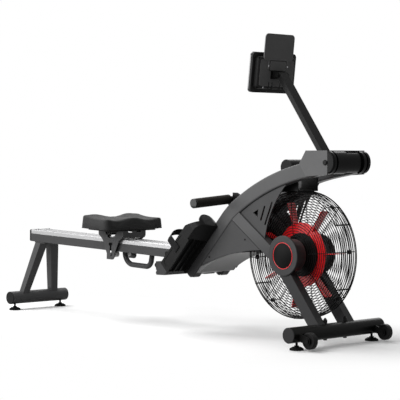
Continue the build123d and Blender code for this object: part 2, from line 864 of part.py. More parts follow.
for y in (-stop_y, stop_y):
    rail_track = rail_track + Pos(-rail_back + stop_back, y, groove_top + stop_h / 2) * Cylinder(stop_r, stop_h)

loop_heading = -loop_back_turn
loop_rise = loop_drop - loop_r
back_lead = loop_rise - loop_back_r * (1 - cos(radians(loop_back_turn))) + loop_r
front_lead = loop_rise - loop_front_r * (1 - cos(radians(loop_front_turn))) + loop_r
back_run = back_lead / sin(radians(loop_back_turn))
front_run = front_lead / sin(radians(loop_front_turn))
back_reach = back_run * cos(radians(loop_back_turn)) + loop_back_r * sin(radians(loop_back_turn))
front_reach_x = front_run * cos(radians(loop_front_turn)) + loop_front_r * sin(radians(loop_front_turn))
loop_runs = [
    (back_run, 0),
    (arc_length(loop_back_r, loop_back_turn), loop_back_turn),
    (loop_back - loop_front - back_reach - front_reach_x, 0),
    (arc_length(loop_front_r, loop_front_turn), loop_front_turn),
    (front_run, 0),
]
loop_path = Plane.XZ * Wire(course((-loop_back, rail_bottom + loop_r), loop_heading, loop_runs, 0))
lift_loop = sweep(Plane(origin=loop_path @ 0, z_dir=loop_path % 0) * Circle(loop_r), path=loop_path)
lift_loop = lift_loop - block(-rail_back, 0, -rail_half, rail_half, rail_bottom, rail_h)


# Rear stand: a tapered pair of legs on the rear stabilizer, under a plate on the rail
def stand_leg():
    # Leg on the -Y side, from above the rail's underside down into the stabilizer
    top_x = fold_x - stand_at
    top_z = fold_z + rail_bottom + stand_at * sin(radians(rail_slope)) + 30
    forms = []
    for thin in (0, 2 * stand_wall):
        top = Pos(top_x, -stand_top_y, top_z) * Rectangle(stand_top_d - thin, stand_top_w - thin)
        low = Pos(-wheel_base, -stand_low_y, tube_z) * Rectangle(stand_low_d - thin, stand_low_w - thin)
        forms.append(loft([low, top]))
    return forms[0] - forms[1]


above_plate = rail_frame * block(
    -2 * rail_back, rail_back, -front_half, front_half, rail_bottom - stand_plate_t, wheel_base
)
rear_tube_room = rod(-wheel_base, tube_z, tube_d / 2 - tube_wall / 2, -rear_half, rear_half)
stand_plate = rail_frame * block(
    -stand_at - stand_plate_l / 2,
    -stand_at + stand_plate_l / 2,
    -rail_half + rail_wall,
    rail_half - rail_wall,
    rail_bottom - stand_plate_t,
    rail_bottom,
)
rear_stand = stabilizer(-wheel_base, rear_half, rear_foot_y) + stand_plate
for leg in pair(stand_leg() - above_plate - rear_tube_room):
    rear_stand = rear_stand + leg


# Seat, in a frame at its centre on the rail
seat_frame = rail_frame * Pos(-seat_at, 0, 0)
seat_axle_z = groove_top + seat_gap + seat_roller_r
low_axle_z = rail_bottom - seat_gap - low_roller_r
cheek_half_points = [
    (0, cheek_notch_low),
    (cheek_notch_half, cheek_notch_low),
    (cheek_half - cheek_arm_w, cheek_top - front_tab_h),
    (cheek_half - cheek_arm_w, cheek_top),
    (cheek_half, cheek_top),
    (cheek_half, cheek_arm_low),
    (cheek_body_half, cheek_body_z),
    (cheek_tip_half, cheek_tip_low + cheek_tip_half),
    (cheek_tip_half, cheek_tip_low),
    (0, cheek_tip_low),
]
cheek_points = cheek_half_points + [(-x, z) for x, z in reversed(cheek_half_points[1:-1])]
cheek_outline = Polygon(*cheek_points, align=None)
cheek_outline = fillet(cheek_outline.vertices().sort_by(Axis.Y)[:2], cheek_tip_r)
cheek_slot = Pos(0, cheek_window_z) * Rectangle(cheek_window_w, cheek_window_h)
slot_run = cheek_window_z - low_axle_z
slot_z = (cheek_window_z + low_axle_z) / 2
cheek_slot = cheek_slot + Pos(0, slot_z) * Rectangle(cheek_slot_w, slot_run)
cheek = slab(cheek_outline - cheek_slot, -cheek_y - cheek_t, -cheek_y)
low_axle = rod(0, low_axle_z, seat_axle_r, -cheek_y - cheek_t - 4, -low_roller_y)
low_axle = low_axle + rod(0, low_axle_z, 1.7 * seat_axle_r, -cheek_y, -low_roller_y - low_roller_w)
low_axle = low_axle + rod(0, low_axle_z, 1.7 * seat_axle_r, -cheek_y - cheek_t - 4, -cheek_y - cheek_t)
seat_carriage = cheek + low_axle
seat_carriage = seat_carriage + left_of(seat_carriage)
for side in (-1, 1):
    x_ends = sorted((side * cheek_half, side * (cheek_half - front_plate_t)))
    tab_low = cheek_top - front_tab_h
    seat_carriage = seat_carriage + block(*x_ends, -cheek_y, cheek_y, front_plate_low, tab_low)
    for y in (-cheek_y + front_tab_w / 2, 0, cheek_y - front_tab_w / 2):
        tab = block(*x_ends, y - front_tab_w / 2, y + front_tab_w / 2, tab_low, cheek_top)
        seat_carriage = seat_carriage + tab
for x in (-seat_axle_at, seat_axle_at):
    seat_carriage = seat_carriage + rod(x, seat_axle_z, seat_axle_r, -cheek_y - cheek_t, cheek_y + cheek_t)
    for side in (-1, 1):
        spacer_low = track_groove_y + seat_roller_w / 2 + 0.5
        y_ends = sorted((side * spacer_low, side * cheek_y))
        seat_carriage = seat_carriage + rod(x, seat_axle_z, 1.7 * seat_axle_r, *y_ends)


def roller(x, z, radius, bore, y, width):
    wheel = rod(x, z, radius, y - width / 2, y + width / 2)
    wheel = fillet(wheel.edges(), width / 10)
    return wheel - rod(x, z, bore + run_gap, y - width, y + width)


def roller_pair(x, z, radius, y, width):
    return pair(roller(x, z, radius, seat_axle_r, -y, width))


pan_low = cheek_top
pan_high = pan_low + pan_t
seat_base = block(-pan_half_x, pan_half_x, -pan_half_y, pan_half_y, pan_low, pan_high)
seat_base = fillet(seat_base.edges().filter_by(Axis.Z), pan_corner_r)
for side in (-1, 1):
    y_ends = sorted((side * cheek_y, side * (cheek_y - pan_rib_t)))
    seat_base = seat_base + block(
        -0.9 * cheek_half, 0.9 * cheek_half, *y_ends, seat_axle_z + 2 * seat_axle_r, pan_low
    )


def cushion_section(y, half_x, rear, front):
    # Slice across the saddle: flat below, walls that lean in, rounded edges and a dished top
    base = pan_high + seat_gap
    top_x = half_x - cushion_flare
    inner_x = top_x - cushion_edge
    drop = 0.3 * cushion_edge
    front_z = base + front
    rear_z = base + rear
    middle = (rear_z + front_z) / 2 - cushion_sag
    front_edge = (top_x, front_z - cushion_edge)
    rear_edge = (-top_x, rear_z - cushion_edge)
    edges = [
        Line((-half_x, base), (half_x, base)),
        Line((half_x, base), front_edge),
        ThreePointArc(front_edge, (top_x - drop, front_z - drop), (inner_x, front_z)),
        ThreePointArc((inner_x, front_z), (0, middle), (-inner_x, rear_z)),
        ThreePointArc((-inner_x, rear_z), (drop - top_x, rear_z - drop), rear_edge),
        Line(rear_edge, (-half_x, base)),
    ]
    return Plane.XZ.offset(-y) * make_face(edges)


def seat_cushion_form():
    # Saddle with two raised lobes at the back, a valley between them and a low hump at the front
    half = cushion_half_y
    slices = [
        (half, 0.93, cushion_skirt, cushion_skirt),
        (half - cushion_flare, 0.98, rear_corner_h - 3, front_corner_h - 3),
        (0.86 * half, 1.0, rear_corner_h, front_corner_h),
        (0.58 * half, 1.0, rear_lobe_h, front_dip_h),
        (0.26 * half, 1.0, 0.5 * (rear_lobe_h + rear_valley_h), 0.5 * (front_dip_h + front_hump_h)),
        (0, 1.0, rear_valley_h, front_hump_h),
    ]
    places = [(-y, wide, rear, front) for y, wide, rear, front in slices] + slices[-2::-1]
    return loft([cushion_section(y, wide * cushion_half_x, rear, front) for y, wide, rear, front in places])


# Monitor on its tilt pivot
monitor_frame = Pos(pivot_x, 0, pivot_z) * Rot(0, monitor_lean, 0)


def monitor_plate(width, low, high, corner, x_low, x_high):
    # Rounded plate that faces along the monitor's X
    face = Pos(0, (low + high) / 2) * Rectangle(width, high - low)
    face = fillet(face.vertices(), corner)
    return Pos(x_low, 0, 0) * extrude(Plane.YZ * face, amount=x_high - x_low)


step = monitor_step_in
monitor_back_shell = monitor_plate(
    monitor_w, monitor_low, monitor_high, monitor_corner_r, monitor_face, monitor_step
)
monitor_box = monitor_plate(
    monitor_w - 2 * step, monitor_low + step, monitor_high - step, monitor_corner_r, monitor_step, monitor_back
)
monitor_box = fillet(monitor_box.faces().sort_by(Axis.X)[-1].edges(), 8)
console_back = monitor_back_shell + monitor_box
step = monitor_step_in + monitor_wall
console_back = console_back - monitor_plate(
    monitor_w - 2 * step, monitor_low + step, monitor_high - step, 8, monitor_face, monitor_back - monitor_wall
)
console_face = monitor_plate(
    monitor_w, monitor_low, monitor_high, monitor_corner_r, monitor_face - monitor_face_t, monitor_face
)
console_face = fillet(console_face.faces().sort_by(Axis.X)[0].edges(), monitor_face_t / 3)
face_front = monitor_face - monitor_face_t
console_face = console_face - monitor_plate(
    screen_w, screen_up - screen_h / 2, screen_up + screen_h / 2, 5, face_front, face_front + screen_d
)
button_places = (-button_at, button_at)


def button_form(y, grow, x_low, x_high):
    half = (button_h + grow) / 2
    form = monitor_plate(button_w + grow, button_low - half, button_low + half, button_h / 3, x_low, x_high)
    return Pos(0, y, 0) * form


def button(y):
    form = button_form(y, 0, face_front - button_proud, monitor_face - button_gap)
    return fillet(form.faces().sort_by(Axis.X)[0].edges(), button_proud / 2)


for y in button_places:
    console_face = console_face - button_form(y, 2 * button_gap, face_front, monitor_face)
ear_inner = mast_w / 2 + seat_gap
ear_outline = Circle(pivot_ear_r) + Pos(monitor_back / 2, 0) * Rectangle(-monitor_back, 2 * pivot_ear_r)
bracket_half = mast_w / 2 + pivot_ear_r
console_bracket = block(
    monitor_back, monitor_back + pivot_ear_t, -bracket_half, bracket_half, -pivot_plate_half, pivot_plate_half
)
for ear in pair(slab(ear_outline, -ear_inner - pivot_ear_t, -ear_inner)):
    console_bracket = console_bracket + ear
console_bracket = console_bracket - block(2 * monitor_back, monitor_back, -mast_w, mast_w, -mast_w, mast_w)
console_bracket = console_bracket + rod(0, 0, pivot_r, -ear_inner, ear_inner)
for y in (-ear_inner - pivot_ear_t - 4, ear_inner + pivot_ear_t):
    console_bracket = console_bracket + rod(0, 0, 1.7 * pivot_r, y, y + 4)
device_front = monitor_back + device_t
device_plate = monitor_plate(device_w, device_low, device_high, device_corner_r, monitor_back, device_front)
mount_top = device_low + device_corner_r
mount_low = pivot_plate_half + seat_gap
device_plate = device_plate + monitor_plate(
    device_mount_w, mount_low, mount_top, device_corner_r / 3, monitor_back, device_front
)

# Handle rest, guide roller, strap drum and strap
rest_beam = block(
    rest_beam_x - rest_beam_w / 2,
    rest_beam_x + rest_beam_w / 2,
    -arm_inner_y,
    arm_inner_y,
    rest_beam_z - rest_beam_w / 3,
    rest_beam_z + rest_beam_w / 3,
)
cradle_x = handle_x + handle_bar_r + seat_gap
cradle_z = handle_z - handle_bar_r - seat_gap
roller_z = handle_z - strap_t / 2 - seat_gap - roller_r
strap_down_x = jack_x + drum_core_r + seat_gap + strap_t / 2
roller_x = strap_down_x - roller_r - seat_gap - strap_t / 2
rest_outline = Polygon(
    (rest_beam_x - rest_beam_w / 2, rest_beam_z - rest_beam_w / 3),
    (rest_beam_x + rest_beam_w / 2, rest_beam_z - rest_beam_w / 3),
    (roller_x + roller_r, roller_z - roller_r),
    (roller_x + roller_r, roller_z + roller_r / 2),
    (cradle_x + rest_tip_l, handle_z + rest_tip_up),
    (cradle_x, handle_z + rest_tip_up),
    (cradle_x, cradle_z),
    (handle_x - handle_bar_r, cradle_z),
    (handle_x - handle_bar_r, cradle_z - rest_lip),
    align=None,
)
handle_rest = rest_beam + rod(roller_x, roller_z, roller_pin_r, -rest_y, rest_y)
for hook in pair(slab(rest_outline, -rest_y - rest_t, -rest_y)):
    handle_rest = handle_rest + hook
guide_roller = rod(roller_x, roller_z, roller_r, -roller_half, roller_half)
guide_roller = guide_roller - rod(roller_x, roller_z, roller_pin_r + run_gap, -roller_half, roller_half)



def handle_part(radius, low, high):
    # Round piece of the handle's -Y side, which droops from the end of the level middle
    return Pos(handle_x, -handle_middle, handle_z) * Rot(handle_droop, 0, 0) * rod(0, 0, radius, -high, -low)


handle_end = (handle_x, -handle_middle, handle_z)
side_reach = handle_side * cos(radians(handle_droop))
side_fall = handle_side * sin(radians(handle_droop))
handle_tip = (handle_x, -handle_middle - side_reach, handle_z - side_fall)
handle_path = FilletPolyline(
    handle_tip,
    handle_end,
    (handle_x, handle_middle, handle_z),
    (handle_x, -handle_tip[1], handle_tip[2]),
    radius=handle_bend_r,
)


def handle_tube(radius):
    return sweep(Plane(origin=handle_path @ 0, z_dir=handle_path % 0) * Circle(radius), path=handle_path)


yoke = Pos(handle_x + yoke_reach / 2, 0, handle_z) * Box(yoke_reach, 2 * yoke_half, yoke_r)
yoke = yoke + rod(handle_x, handle_z, yoke_r, -yoke_half, yoke_half)
handle_bar = handle_tube(handle_bar_r) + yoke - handle_tube(handle_bar_r - handle_wall)
grip_end = handle_side - handle_cap_l
handle_grip = handle_part(grip_r, grip_gap, grip_end)
handle_grip = fillet(handle_grip.edges().filter_by(GeomType.CIRCLE), grip_edge_r)
handle_grip = handle_grip - handle_part(handle_bar_r, 0, handle_side)
handle_cap = handle_part(grip_r, grip_end, handle_side)
handle_cap = fillet(handle_cap.edges().filter_by(GeomType.CIRCLE), grip_edge_r)
for cap in pair(handle_cap):
    handle_bar = handle_bar + cap

strap_turn = -90
strap_bend_r = roller_r + seat_gap + strap_t / 2
strap_wrap_r = drum_core_r + seat_gap + strap_t / 2
strap_start = (handle_x + yoke_reach, handle_z)
strap_runs = [
    (roller_x - strap_start[0], 0),
    (arc_length(strap_bend_r, strap_turn), strap_turn),
    (roller_z - jack_z, 0),
    (arc_length(strap_wrap_r, strap_turn), strap_turn),
]
pull_strap = slab(strip(strap_start, 0, strap_runs, strap_t / 2), -strap_w / 2, strap_w / 2)

shaft_left = pulley_y + pulley_w
shaft_right = plate_y + plate_t + 0.6 * recoil_w
strap_drum = rod(jack_x, jack_z, jack_r, -shaft_right, shaft_left)
strap_drum = strap_drum + rod(jack_x, jack_z, drum_core_r, -drum_half, drum_half)
for y in (-drum_half - 3, drum_half):
    strap_drum = strap_drum + rod(jack_x, jack_z, drum_flange_r, y, y + 3)
strap_drum = strap_drum + rod(jack_x, jack_z, pulley_r, pulley_y, pulley_y + pulley_w)
strap_drum = strap_drum - pipe(jack_x, jack_z, 0.82 * pulley_r, 2 * jack_r, pulley_y + 3, pulley_y + pulley_w)

belt_low = pulley_y + (pulley_w - belt_w) / 2


def belt_loop(grow):
    # Outline round both pulleys, this far off them
    big = Pos(jack_x, jack_z) * Circle(pulley_r + grow)
    small = Pos(hub_x, hub_z) * Circle(fan_pulley_r + grow)
    return make_hull(big.edges() + small.edges())


drive_belt = slab(belt_loop(seat_gap + belt_t) - belt_loop(seat_gap), belt_low, belt_low + belt_w)

plate_foot, _ = walk(arm_foot, arm_pitch, plate_foot_at, 0)
plate_head, _ = walk(arm_foot, arm_pitch, plate_head_at, 0)
plate_low = jack_z - 2.2 * jack_bearing_r
plate_outline = Polygon(
    plate_foot,
    plate_head,
    (jack_x + plate_front, jack_z + jack_bearing_r),
    (jack_x + plate_front / 2, plate_low),
    (jack_x - plate_front / 2, plate_low),
    align=None,
)
plate_outline = plate_outline - Pos(jack_x, jack_z) * Circle(jack_bearing_r)
drive_plate = slab(plate_outline, -plate_y - plate_t, -plate_y)
for place in (plate_foot_at + arm_w / 2, plate_head_at - arm_w / 2):
    boss_at, _ = walk(arm_foot, arm_pitch, place, 0)
    boss_at = beside(boss_at, arm_pitch, -arm_w / 4)
    drive_plate = drive_plate + rod(*boss_at, plate_boss_r, -arm_inner_y, -plate_y - plate_t)
recoil_case = rod(jack_x, jack_z, recoil_r, -plate_y - plate_t - recoil_w, -plate_y - plate_t)
recoil_case = fillet(recoil_case.faces().sort_by(Axis.Y)[0].edges(), 4)
recoil_case = recoil_case - rod(
    jack_x, jack_z, jack_r + seat_gap, -shaft_right - 1, -plate_y - plate_t
)

# Foot plates lie in a frame on the arm's foot: X up the arm, Z off its rear face
foot_frame = Pos(arm_foot_x, 0, arm_foot_z) * Rot(0, -arm_pitch, 0)
foot_base = arm_w / 2
foot_floor = foot_base + foot_floor_t
foot_rim = foot_base + foot_wall_h
foot_mid_y = -(foot_inner_y + foot_outer_y) / 2
foot_width = foot_outer_y - foot_inner_y


def foot_plan(low, high, inset):
    # Plan of the tray with a rounded toe end
    face = Pos((low + high) / 2, foot_mid_y) * Rectangle(high - low - inset, foot_width - 2 * inset)
    return fillet(face.vertices().sort_by(Axis.X)[-2:], foot_corner_r - inset)


def foot_plate_form():
    floor = Pos(0, 0, foot_base) * extrude(foot_plan(foot_low, foot_top, 0), amount=foot_floor_t)
    rim_plan = foot_plan(foot_low, foot_top, 0)
    rim_room = Pos(-foot_wall_t, 0) * foot_plan(foot_low - foot_wall_t, foot_top, foot_wall_t)
    rim = Pos(0, 0, foot_base) * extrude(rim_plan - rim_room, amount=foot_wall_h)
    tray = floor + rim
    clear = side_y + 2
    drop = foot_base - foot_toe_drop
    wedge = Polygon((-clear, drop), (-clear, foot_base), (-foot_outer_y, foot_base), align=None)
    wedge = Pos(foot_toe, 0, 0) * extrude(Plane.YZ * wedge, amount=foot_top - foot_toe, dir=(1, 0, 0))
    toe_plan = Pos(0, 0, drop) * extrude(foot_plan(foot_toe, foot_top, 0), amount=foot_toe_drop)
    tray = tray + (wedge & toe_plan)
    skirt = block(foot_low, foot_top, -clear - foot_wall_t, -clear, drop, foot_base)
    tray = tray + skirt
    toe_rim = foot_base + foot_toe_wall_h
    slope = Polygon((foot_slope_at, foot_rim), (foot_top, foot_rim), (foot_top, toe_rim), align=None)
    tray = tray - slab(slope, -foot_outer_y, -foot_inner_y)
    dome = Pos(foot_mid_y, foot_base) * Ellipse(foot_dome_half, foot_wall_h)
    dome = dome & Pos(foot_mid_y, foot_base + foot_wall_h) * Rectangle(foot_width, 2 * foot_wall_h)
    dome = Pos(foot_top, 0, 0) * extrude(Plane.YZ * dome, amount=-foot_dome_t)
    tray = tray + (dome & Pos(0, 0, foot_base) * extrude(rim_plan, amount=foot_wall_h))
    pocket_u = (foot_low + foot_toe) / 2
    pocket_n = foot_base + foot_wall_h / 2
    pocket = Pos(pocket_u, -foot_outer_y + foot_pocket_d / 2, pocket_n) * Box(
        foot_toe - foot_low - foot_pocket_h, foot_pocket_d, foot_pocket_h
    )
    tray = tray - fillet(pocket.edges().filter_by(Axis.Y), foot_pocket_h / 3)
    rib_span = (foot_outer_y - clear) / foot_ribs
    for index in range(foot_ribs):
        y = -foot_outer_y + foot_wall_t / 2 + index * rib_span
        tray = tray + block(
            foot_low, foot_toe, y - foot_wall_t / 2, y + foot_wall_t / 2, foot_base - foot_rib_h, foot_base
        )
    return tray


def heel_cup_form():
    # Sliding heel rest: a cup with a level underside below the tray, and a tongue that runs in it
    inset = foot_wall_t + heel_gap
    tongue_z = foot_floor + seat_gap
    end = foot_low - heel_gap
    outline = make_face(
        Polyline(
            (end, heel_sole), (heel_tip + heel_tip_n - heel_sole, heel_sole), (heel_tip, heel_tip_n),
            (heel_brow, foot_rim), (end, foot_rim), close=True,
        )
    )
    outline = fillet(outline.vertices().sort_by(Axis.X)[0], heel_tip_r)
    floor_n = tongue_z + heel_wall_t
    room = make_face(
        Polyline(
            (foot_top, floor_n), (heel_brow - heel_wall_t, floor_n), (heel_tip + 4 * heel_wall_t, heel_tip_n),
            (heel_tip + 4 * heel_wall_t, 2 * foot_rim), (foot_top, 2 * foot_rim), close=True,
        )
    )
    cup = slab(outline, -foot_outer_y, -foot_inner_y)
    tongue_top = floor_n + heel_tongue_h
    tongue = block(end, heel_tongue, -foot_outer_y + inset, -foot_inner_y - inset, tongue_z, tongue_top)
    cup = cup + tongue
    return cup - slab(room, -foot_outer_y + inset + heel_wall_t, -foot_inner_y - inset - heel_wall_t)


def foot_strap_form():
    # Stiff band that springs from both side walls of the tray and arches over the foot
    out = foot_width / 2

    def arch(off):
        edges = [
            Line((-out - off, strap_band_low), (-out - off, strap_side)),
            ThreePointArc((-out - off, strap_side), (0, strap_top + off), (out + off, strap_side)),
            Line((out + off, strap_side), (out + off, strap_band_low)),
        ]
        return edges

    closing = [
        Line((-out - strap_band_t, strap_band_low), (-out, strap_band_low)),
        Line((out, strap_band_low), (out + strap_band_t, strap_band_low)),
    ]
    face = make_face(arch(0) + arch(strap_band_t) + closing)
    band = extrude(Plane.YZ * face, amount=strap_band_w)
    return Pos(strap_band_at - strap_band_w / 2, foot_mid_y, 0) * band


# Covers between the arm and the strut
vent_y = -side_y + vent_in
panel_y = -side_y + panel_in
vent_outline = make_face(
    [
        Line(vent_top, (vent_back_x, vent_back_high)),
        Line((vent_back_x, vent_back_high), (vent_back_x, vent_back_low)),
        Line((vent_back_x, vent_back_low), vent_low),
        ThreePointArc(vent_low, vent_waist, vent_top),
    ]
)
vent_panel = slab(vent_outline, vent_y, vent_y + panel_t) - arm_shape - side_solid
vent_panel = vent_panel.solids().sort_by(SortBy.VOLUME)[-1]
slots = Polygon((-379, 540), (-347, 557), (-352, 522), align=None)
for low, high in (((-333, 508), (-308, 572)), ((-308, 490), (-264, 590))):
    run = ((high[0] - low[0]) ** 2 + (high[1] - low[1]) ** 2) ** 0.5
    way = degrees(atan2(high[1] - low[1], high[0] - low[0]))
    middle = Pos((low[0] + high[0]) / 2, (low[1] + high[1]) / 2)
    slots = slots + middle * SlotOverall(run, vent_slot_w, rotation=way)
vent_panel = vent_panel - slab(slots, -side_y, 0)
groove_outline = strip(arm_foot, arm_pitch, arm_runs, arm_w / 2 + panel_groove)
groove_w = strut_w + 2 * panel_groove
groove_outline = groove_outline + beam_outline(knee, strut_pitch, -strut_w, strut_length, groove_w)

side_panel_outline = make_face(
    [
        Line(panel_heel, panel_back),
        Line(panel_back, panel_top),
        Line(panel_top, panel_front),
        ThreePointArc(panel_front, panel_belly, panel_heel),
    ]
)
side_panel = slab(side_panel_outline, panel_y, panel_y + panel_t) - arm_shape - side_solid
side_panel = side_panel - slab(groove_outline, panel_y, panel_y + panel_groove_d)
side_panel = side_panel.solids().sort_by(SortBy.VOLUME)[-1]
vent_panel = vent_panel - slab(groove_outline, vent_y, vent_y + panel_groove_d)
vent_panel = vent_panel.solids().sort_by(SortBy.VOLUME)[-1]

cover_half = side_y - panel_in - panel_t
cover_back = (foot_tube_x + foot_tube_r + seat_gap, cover_back_z)


def cover_band(low, high):
    # Outline along the belly's curve, from low to high above it
    def curve(up):
        spots = [(x, z + up) for x, z in (cover_back, cover_heel, cover_belly, cover_front)]
        return [Line(spots[0], spots[1]), ThreePointArc(spots[1], spots[2], spots[3])]

    lower = curve(low)
    upper = curve(high)
    return make_face(lower + upper + [Line(lower[0] @ 0, upper[0] @ 0), Line(lower[1] @ 1, upper[1] @ 1)])


inner_half = cover_half - cover_t
lower_cover = slab(cover_band(0, cover_wall_h), -cover_half, cover_half)
lower_cover = lower_cover - slab(cover_band(cover_t, 2 * cover_wall_h), -inner_half, inner_half)
cover_slot = cage_y + cover_gap
lower_cover = lower_cover - rod(hub_x, hub_z, cage_r + cover_gap, -cover_slot, cover_slot)
belt_room = belt_loop(belt_t + cover_gap)
lower_cover = lower_cover - slab(belt_room, pulley_y - cover_gap / 2, shaft_left + cover_gap / 2)
for arm in pair(arm_shape):
    lower_cover = lower_cover - arm
lower_cover = lower_cover.solids().sort_by(SortBy.VOLUME)[-1]


# Screws, bolts and cage spacers that stay with the frame
def screw(x, z, face_y, radius, height):
    return fillet(
        rod(x, z, radius, face_y - height, face_y).faces().sort_by(Axis.Y)[0].edges(), height / 2
    )


panel_screws = [screw(x, z, panel_y, screw_r, screw_h) for x, z in ((-422, 424), (-645, 338))]
head_bolt = screw(head_bolt_x, nose_z, -side_y - head_t, head_bolt_r, 5)
fasteners = [wheel_bolt(), leg_bolt(), head_bolt] + panel_screws
fasteners = fasteners + [left_of(piece) for piece in fasteners] + [fold_pin] + cage_spacers

os.makedirs("parts", exist_ok=True)
save("front_stabilizer", front_stabilizer)
save("front_end_caps", *pair(end_cap(0, front_half)))
save("side_frame_right", side_frame_right)
save("side_frame_left", side_frame_left)
save("arm_right", arm_right)
save("arm_left", left_of(arm_right))
save("hub_covers", *pair(hub_cover()))
save(
    "bearings",
    bearing(hub_x, hub_z, bearing_r, axle_r, bearing_right_y, bearing_w),
    bearing(hub_x, hub_z, bearing_r, axle_r, -bearing_left_y, bearing_w),
    *pair(bearing(jack_x, jack_z, jack_bearing_r, jack_r, -plate_y - plate_t / 2, plate_t)),
)
save("cage_right", cage_right)
save("cage_left", cage_left)
save("cage_bracket", cage_bracket)
save("cross_tube", cross_tube)
save("head_shell", head_shell)
save("head_nose", head_nose)
save("mast", mast)
save("vent_panels", *pair(vent_panel))
save("side_panels", *pair(side_panel))
save("lower_cover", lower_cover)
save("main_beam", main_beam)
save("drive_plates", *pair(drive_plate))
save("handle_rest", handle_rest)
save("drive_belt", drive_belt)
save("recoil_case", recoil_case)
foot_plate_right = foot_frame * foot_plate_form()
save("foot_plate_right", foot_plate_right)
save("foot_plate_left", left_of(foot_plate_right))
save("foot_straps", *pair(foot_frame * foot_strap_form()))
heel_cup_right = foot_frame * heel_cup_form()
save("heel_cup_right", heel_cup_right)
save("heel_cup_left", left_of(heel_cup_right))
save("frame_fasteners", *fasteners)
save("fan_wheel", fan_wheel)
save("fan_axle", fan_axle)
save("strap_drum", strap_drum)
save("guide_roller", guide_roller)
save("handle_bar", handle_bar)
save("handle_grips", *pair(handle_grip))
save("pull_strap", pull_strap)
save("rail_beam", rail_frame * rail_beam)
save("rail_track", rail_frame * rail_track)
save("rail_caps", rail_frame * rail_cap, *pair(end_cap(-wheel_base, rear_half)))
save("rear_stand", rear_stand)
save("lift_loop", rail_frame * lift_loop)
save("seat_cushion", seat_frame * seat_cushion_form())
save("seat_base", seat_frame * seat_base)
save("seat_carriage", seat_frame * seat_carriage)
for name, x in (("front_rollers", seat_axle_at), ("rear_rollers", -seat_axle_at)):
    rollers = roller_pair(x, seat_axle_z, seat_roller_r, track_groove_y, seat_roller_w)
    save(name, *[seat_frame * one for one in rollers])
low_rollers = roller_pair(0, low_axle_z, low_roller_r, low_roller_y + low_roller_w / 2, low_roller_w)
save("lower_rollers", *[seat_frame * one for one in low_rollers])
save("console_back", monitor_frame * console_back)
save("console_face", monitor_frame * console_face)
save("console_bracket", monitor_frame * console_bracket)
save("device_plate", monitor_frame * device_plate)
for name, y in zip(("button_right", "button_left"), button_places):
    save(name, monitor_frame * button(y))
wheel_right = transport_wheel()
save("wheel_right", wheel_right)
save("wheel_left", left_of(wheel_right))
for name, x, y in (
    ("foot_front_right", 0, -front_foot_y),
    ("foot_front_left", 0, front_foot_y),
    ("foot_rear_right", -wheel_base, -rear_foot_y),
    ("foot_rear_left", -wheel_base, rear_foot_y),
):
    save(name, foot(x, y))
save("lock_knob", lock_knob)
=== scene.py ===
import json
import math

import bmesh
import bpy
import numpy as np
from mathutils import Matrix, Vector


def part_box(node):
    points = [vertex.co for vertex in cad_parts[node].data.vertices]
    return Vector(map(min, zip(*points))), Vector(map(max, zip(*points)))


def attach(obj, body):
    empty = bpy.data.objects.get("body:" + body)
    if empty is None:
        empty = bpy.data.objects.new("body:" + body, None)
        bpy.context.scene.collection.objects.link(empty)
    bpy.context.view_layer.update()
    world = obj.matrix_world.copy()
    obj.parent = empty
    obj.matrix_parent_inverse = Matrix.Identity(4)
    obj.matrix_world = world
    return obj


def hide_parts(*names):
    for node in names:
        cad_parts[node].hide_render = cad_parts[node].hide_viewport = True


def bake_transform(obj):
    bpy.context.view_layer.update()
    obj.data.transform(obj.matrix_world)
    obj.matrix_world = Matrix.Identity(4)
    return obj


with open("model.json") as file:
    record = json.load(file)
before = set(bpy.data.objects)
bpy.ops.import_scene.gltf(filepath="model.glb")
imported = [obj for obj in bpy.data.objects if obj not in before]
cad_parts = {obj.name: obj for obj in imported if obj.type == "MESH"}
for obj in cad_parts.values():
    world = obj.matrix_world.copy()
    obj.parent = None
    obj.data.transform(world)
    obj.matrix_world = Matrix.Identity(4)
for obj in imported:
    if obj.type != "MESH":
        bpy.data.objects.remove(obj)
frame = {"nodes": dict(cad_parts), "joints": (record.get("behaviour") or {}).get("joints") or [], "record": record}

nodes = frame["nodes"]
joints = {joint["name"]: joint for joint in frame["joints"]}
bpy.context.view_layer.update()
mm = 0.001
print("frame loaded:", len(nodes), "nodes")


def nodePoints(node):
    points = np.empty(len(nodes[node].data.vertices) * 3, np.float32)
    nodes[node].data.vertices.foreach_get("co", points)
    return points.reshape(-1, 3).astype(float)


def nodeBox(node):
    low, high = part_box(node)
    return np.array(low), np.array(high)


# Shader maths

def feed(tree, value, place):
    # A wire is linked to the socket, anything else is its value
    if isinstance(value, Wire):
        tree.links.new(value.socket, place)
    else:
        place.default_value = value


class Wire:
    # A value in a material, which sums and products turn into Math nodes
    def __init__(self, tree, socket):
        self.tree = tree
        self.socket = socket

    def calc(self, operation, first, second=0.0, clamp=False):
        node = self.tree.nodes.new("ShaderNodeMath")
        node.operation = operation
        node.use_clamp = clamp
        feed(self.tree, first, node.inputs[0])
        feed(self.tree, second, node.inputs[1])
        return Wire(self.tree, node.outputs[0])

    def __add__(self, other):
        return self.calc("ADD", self, other)

    def __radd__(self, other):
        return self.calc("ADD", other, self)

    def __sub__(self, other):
        return self.calc("SUBTRACT", self, other)

    def __rsub__(self, other):
        return self.calc("SUBTRACT", other, self)

    def __mul__(self, other):
        return self.calc("MULTIPLY", self, other)

    def __rmul__(self, other):
        return self.calc("MULTIPLY", other, self)

    def __pow__(self, other):
        return self.calc("POWER", self, other)

    def __abs__(self):
        return self.calc("ABSOLUTE", self)

    def sine(self):
        return self.calc("SINE", self)

    def clamped(self):
        return self.calc("ADD", self, 0.0, clamp=True)


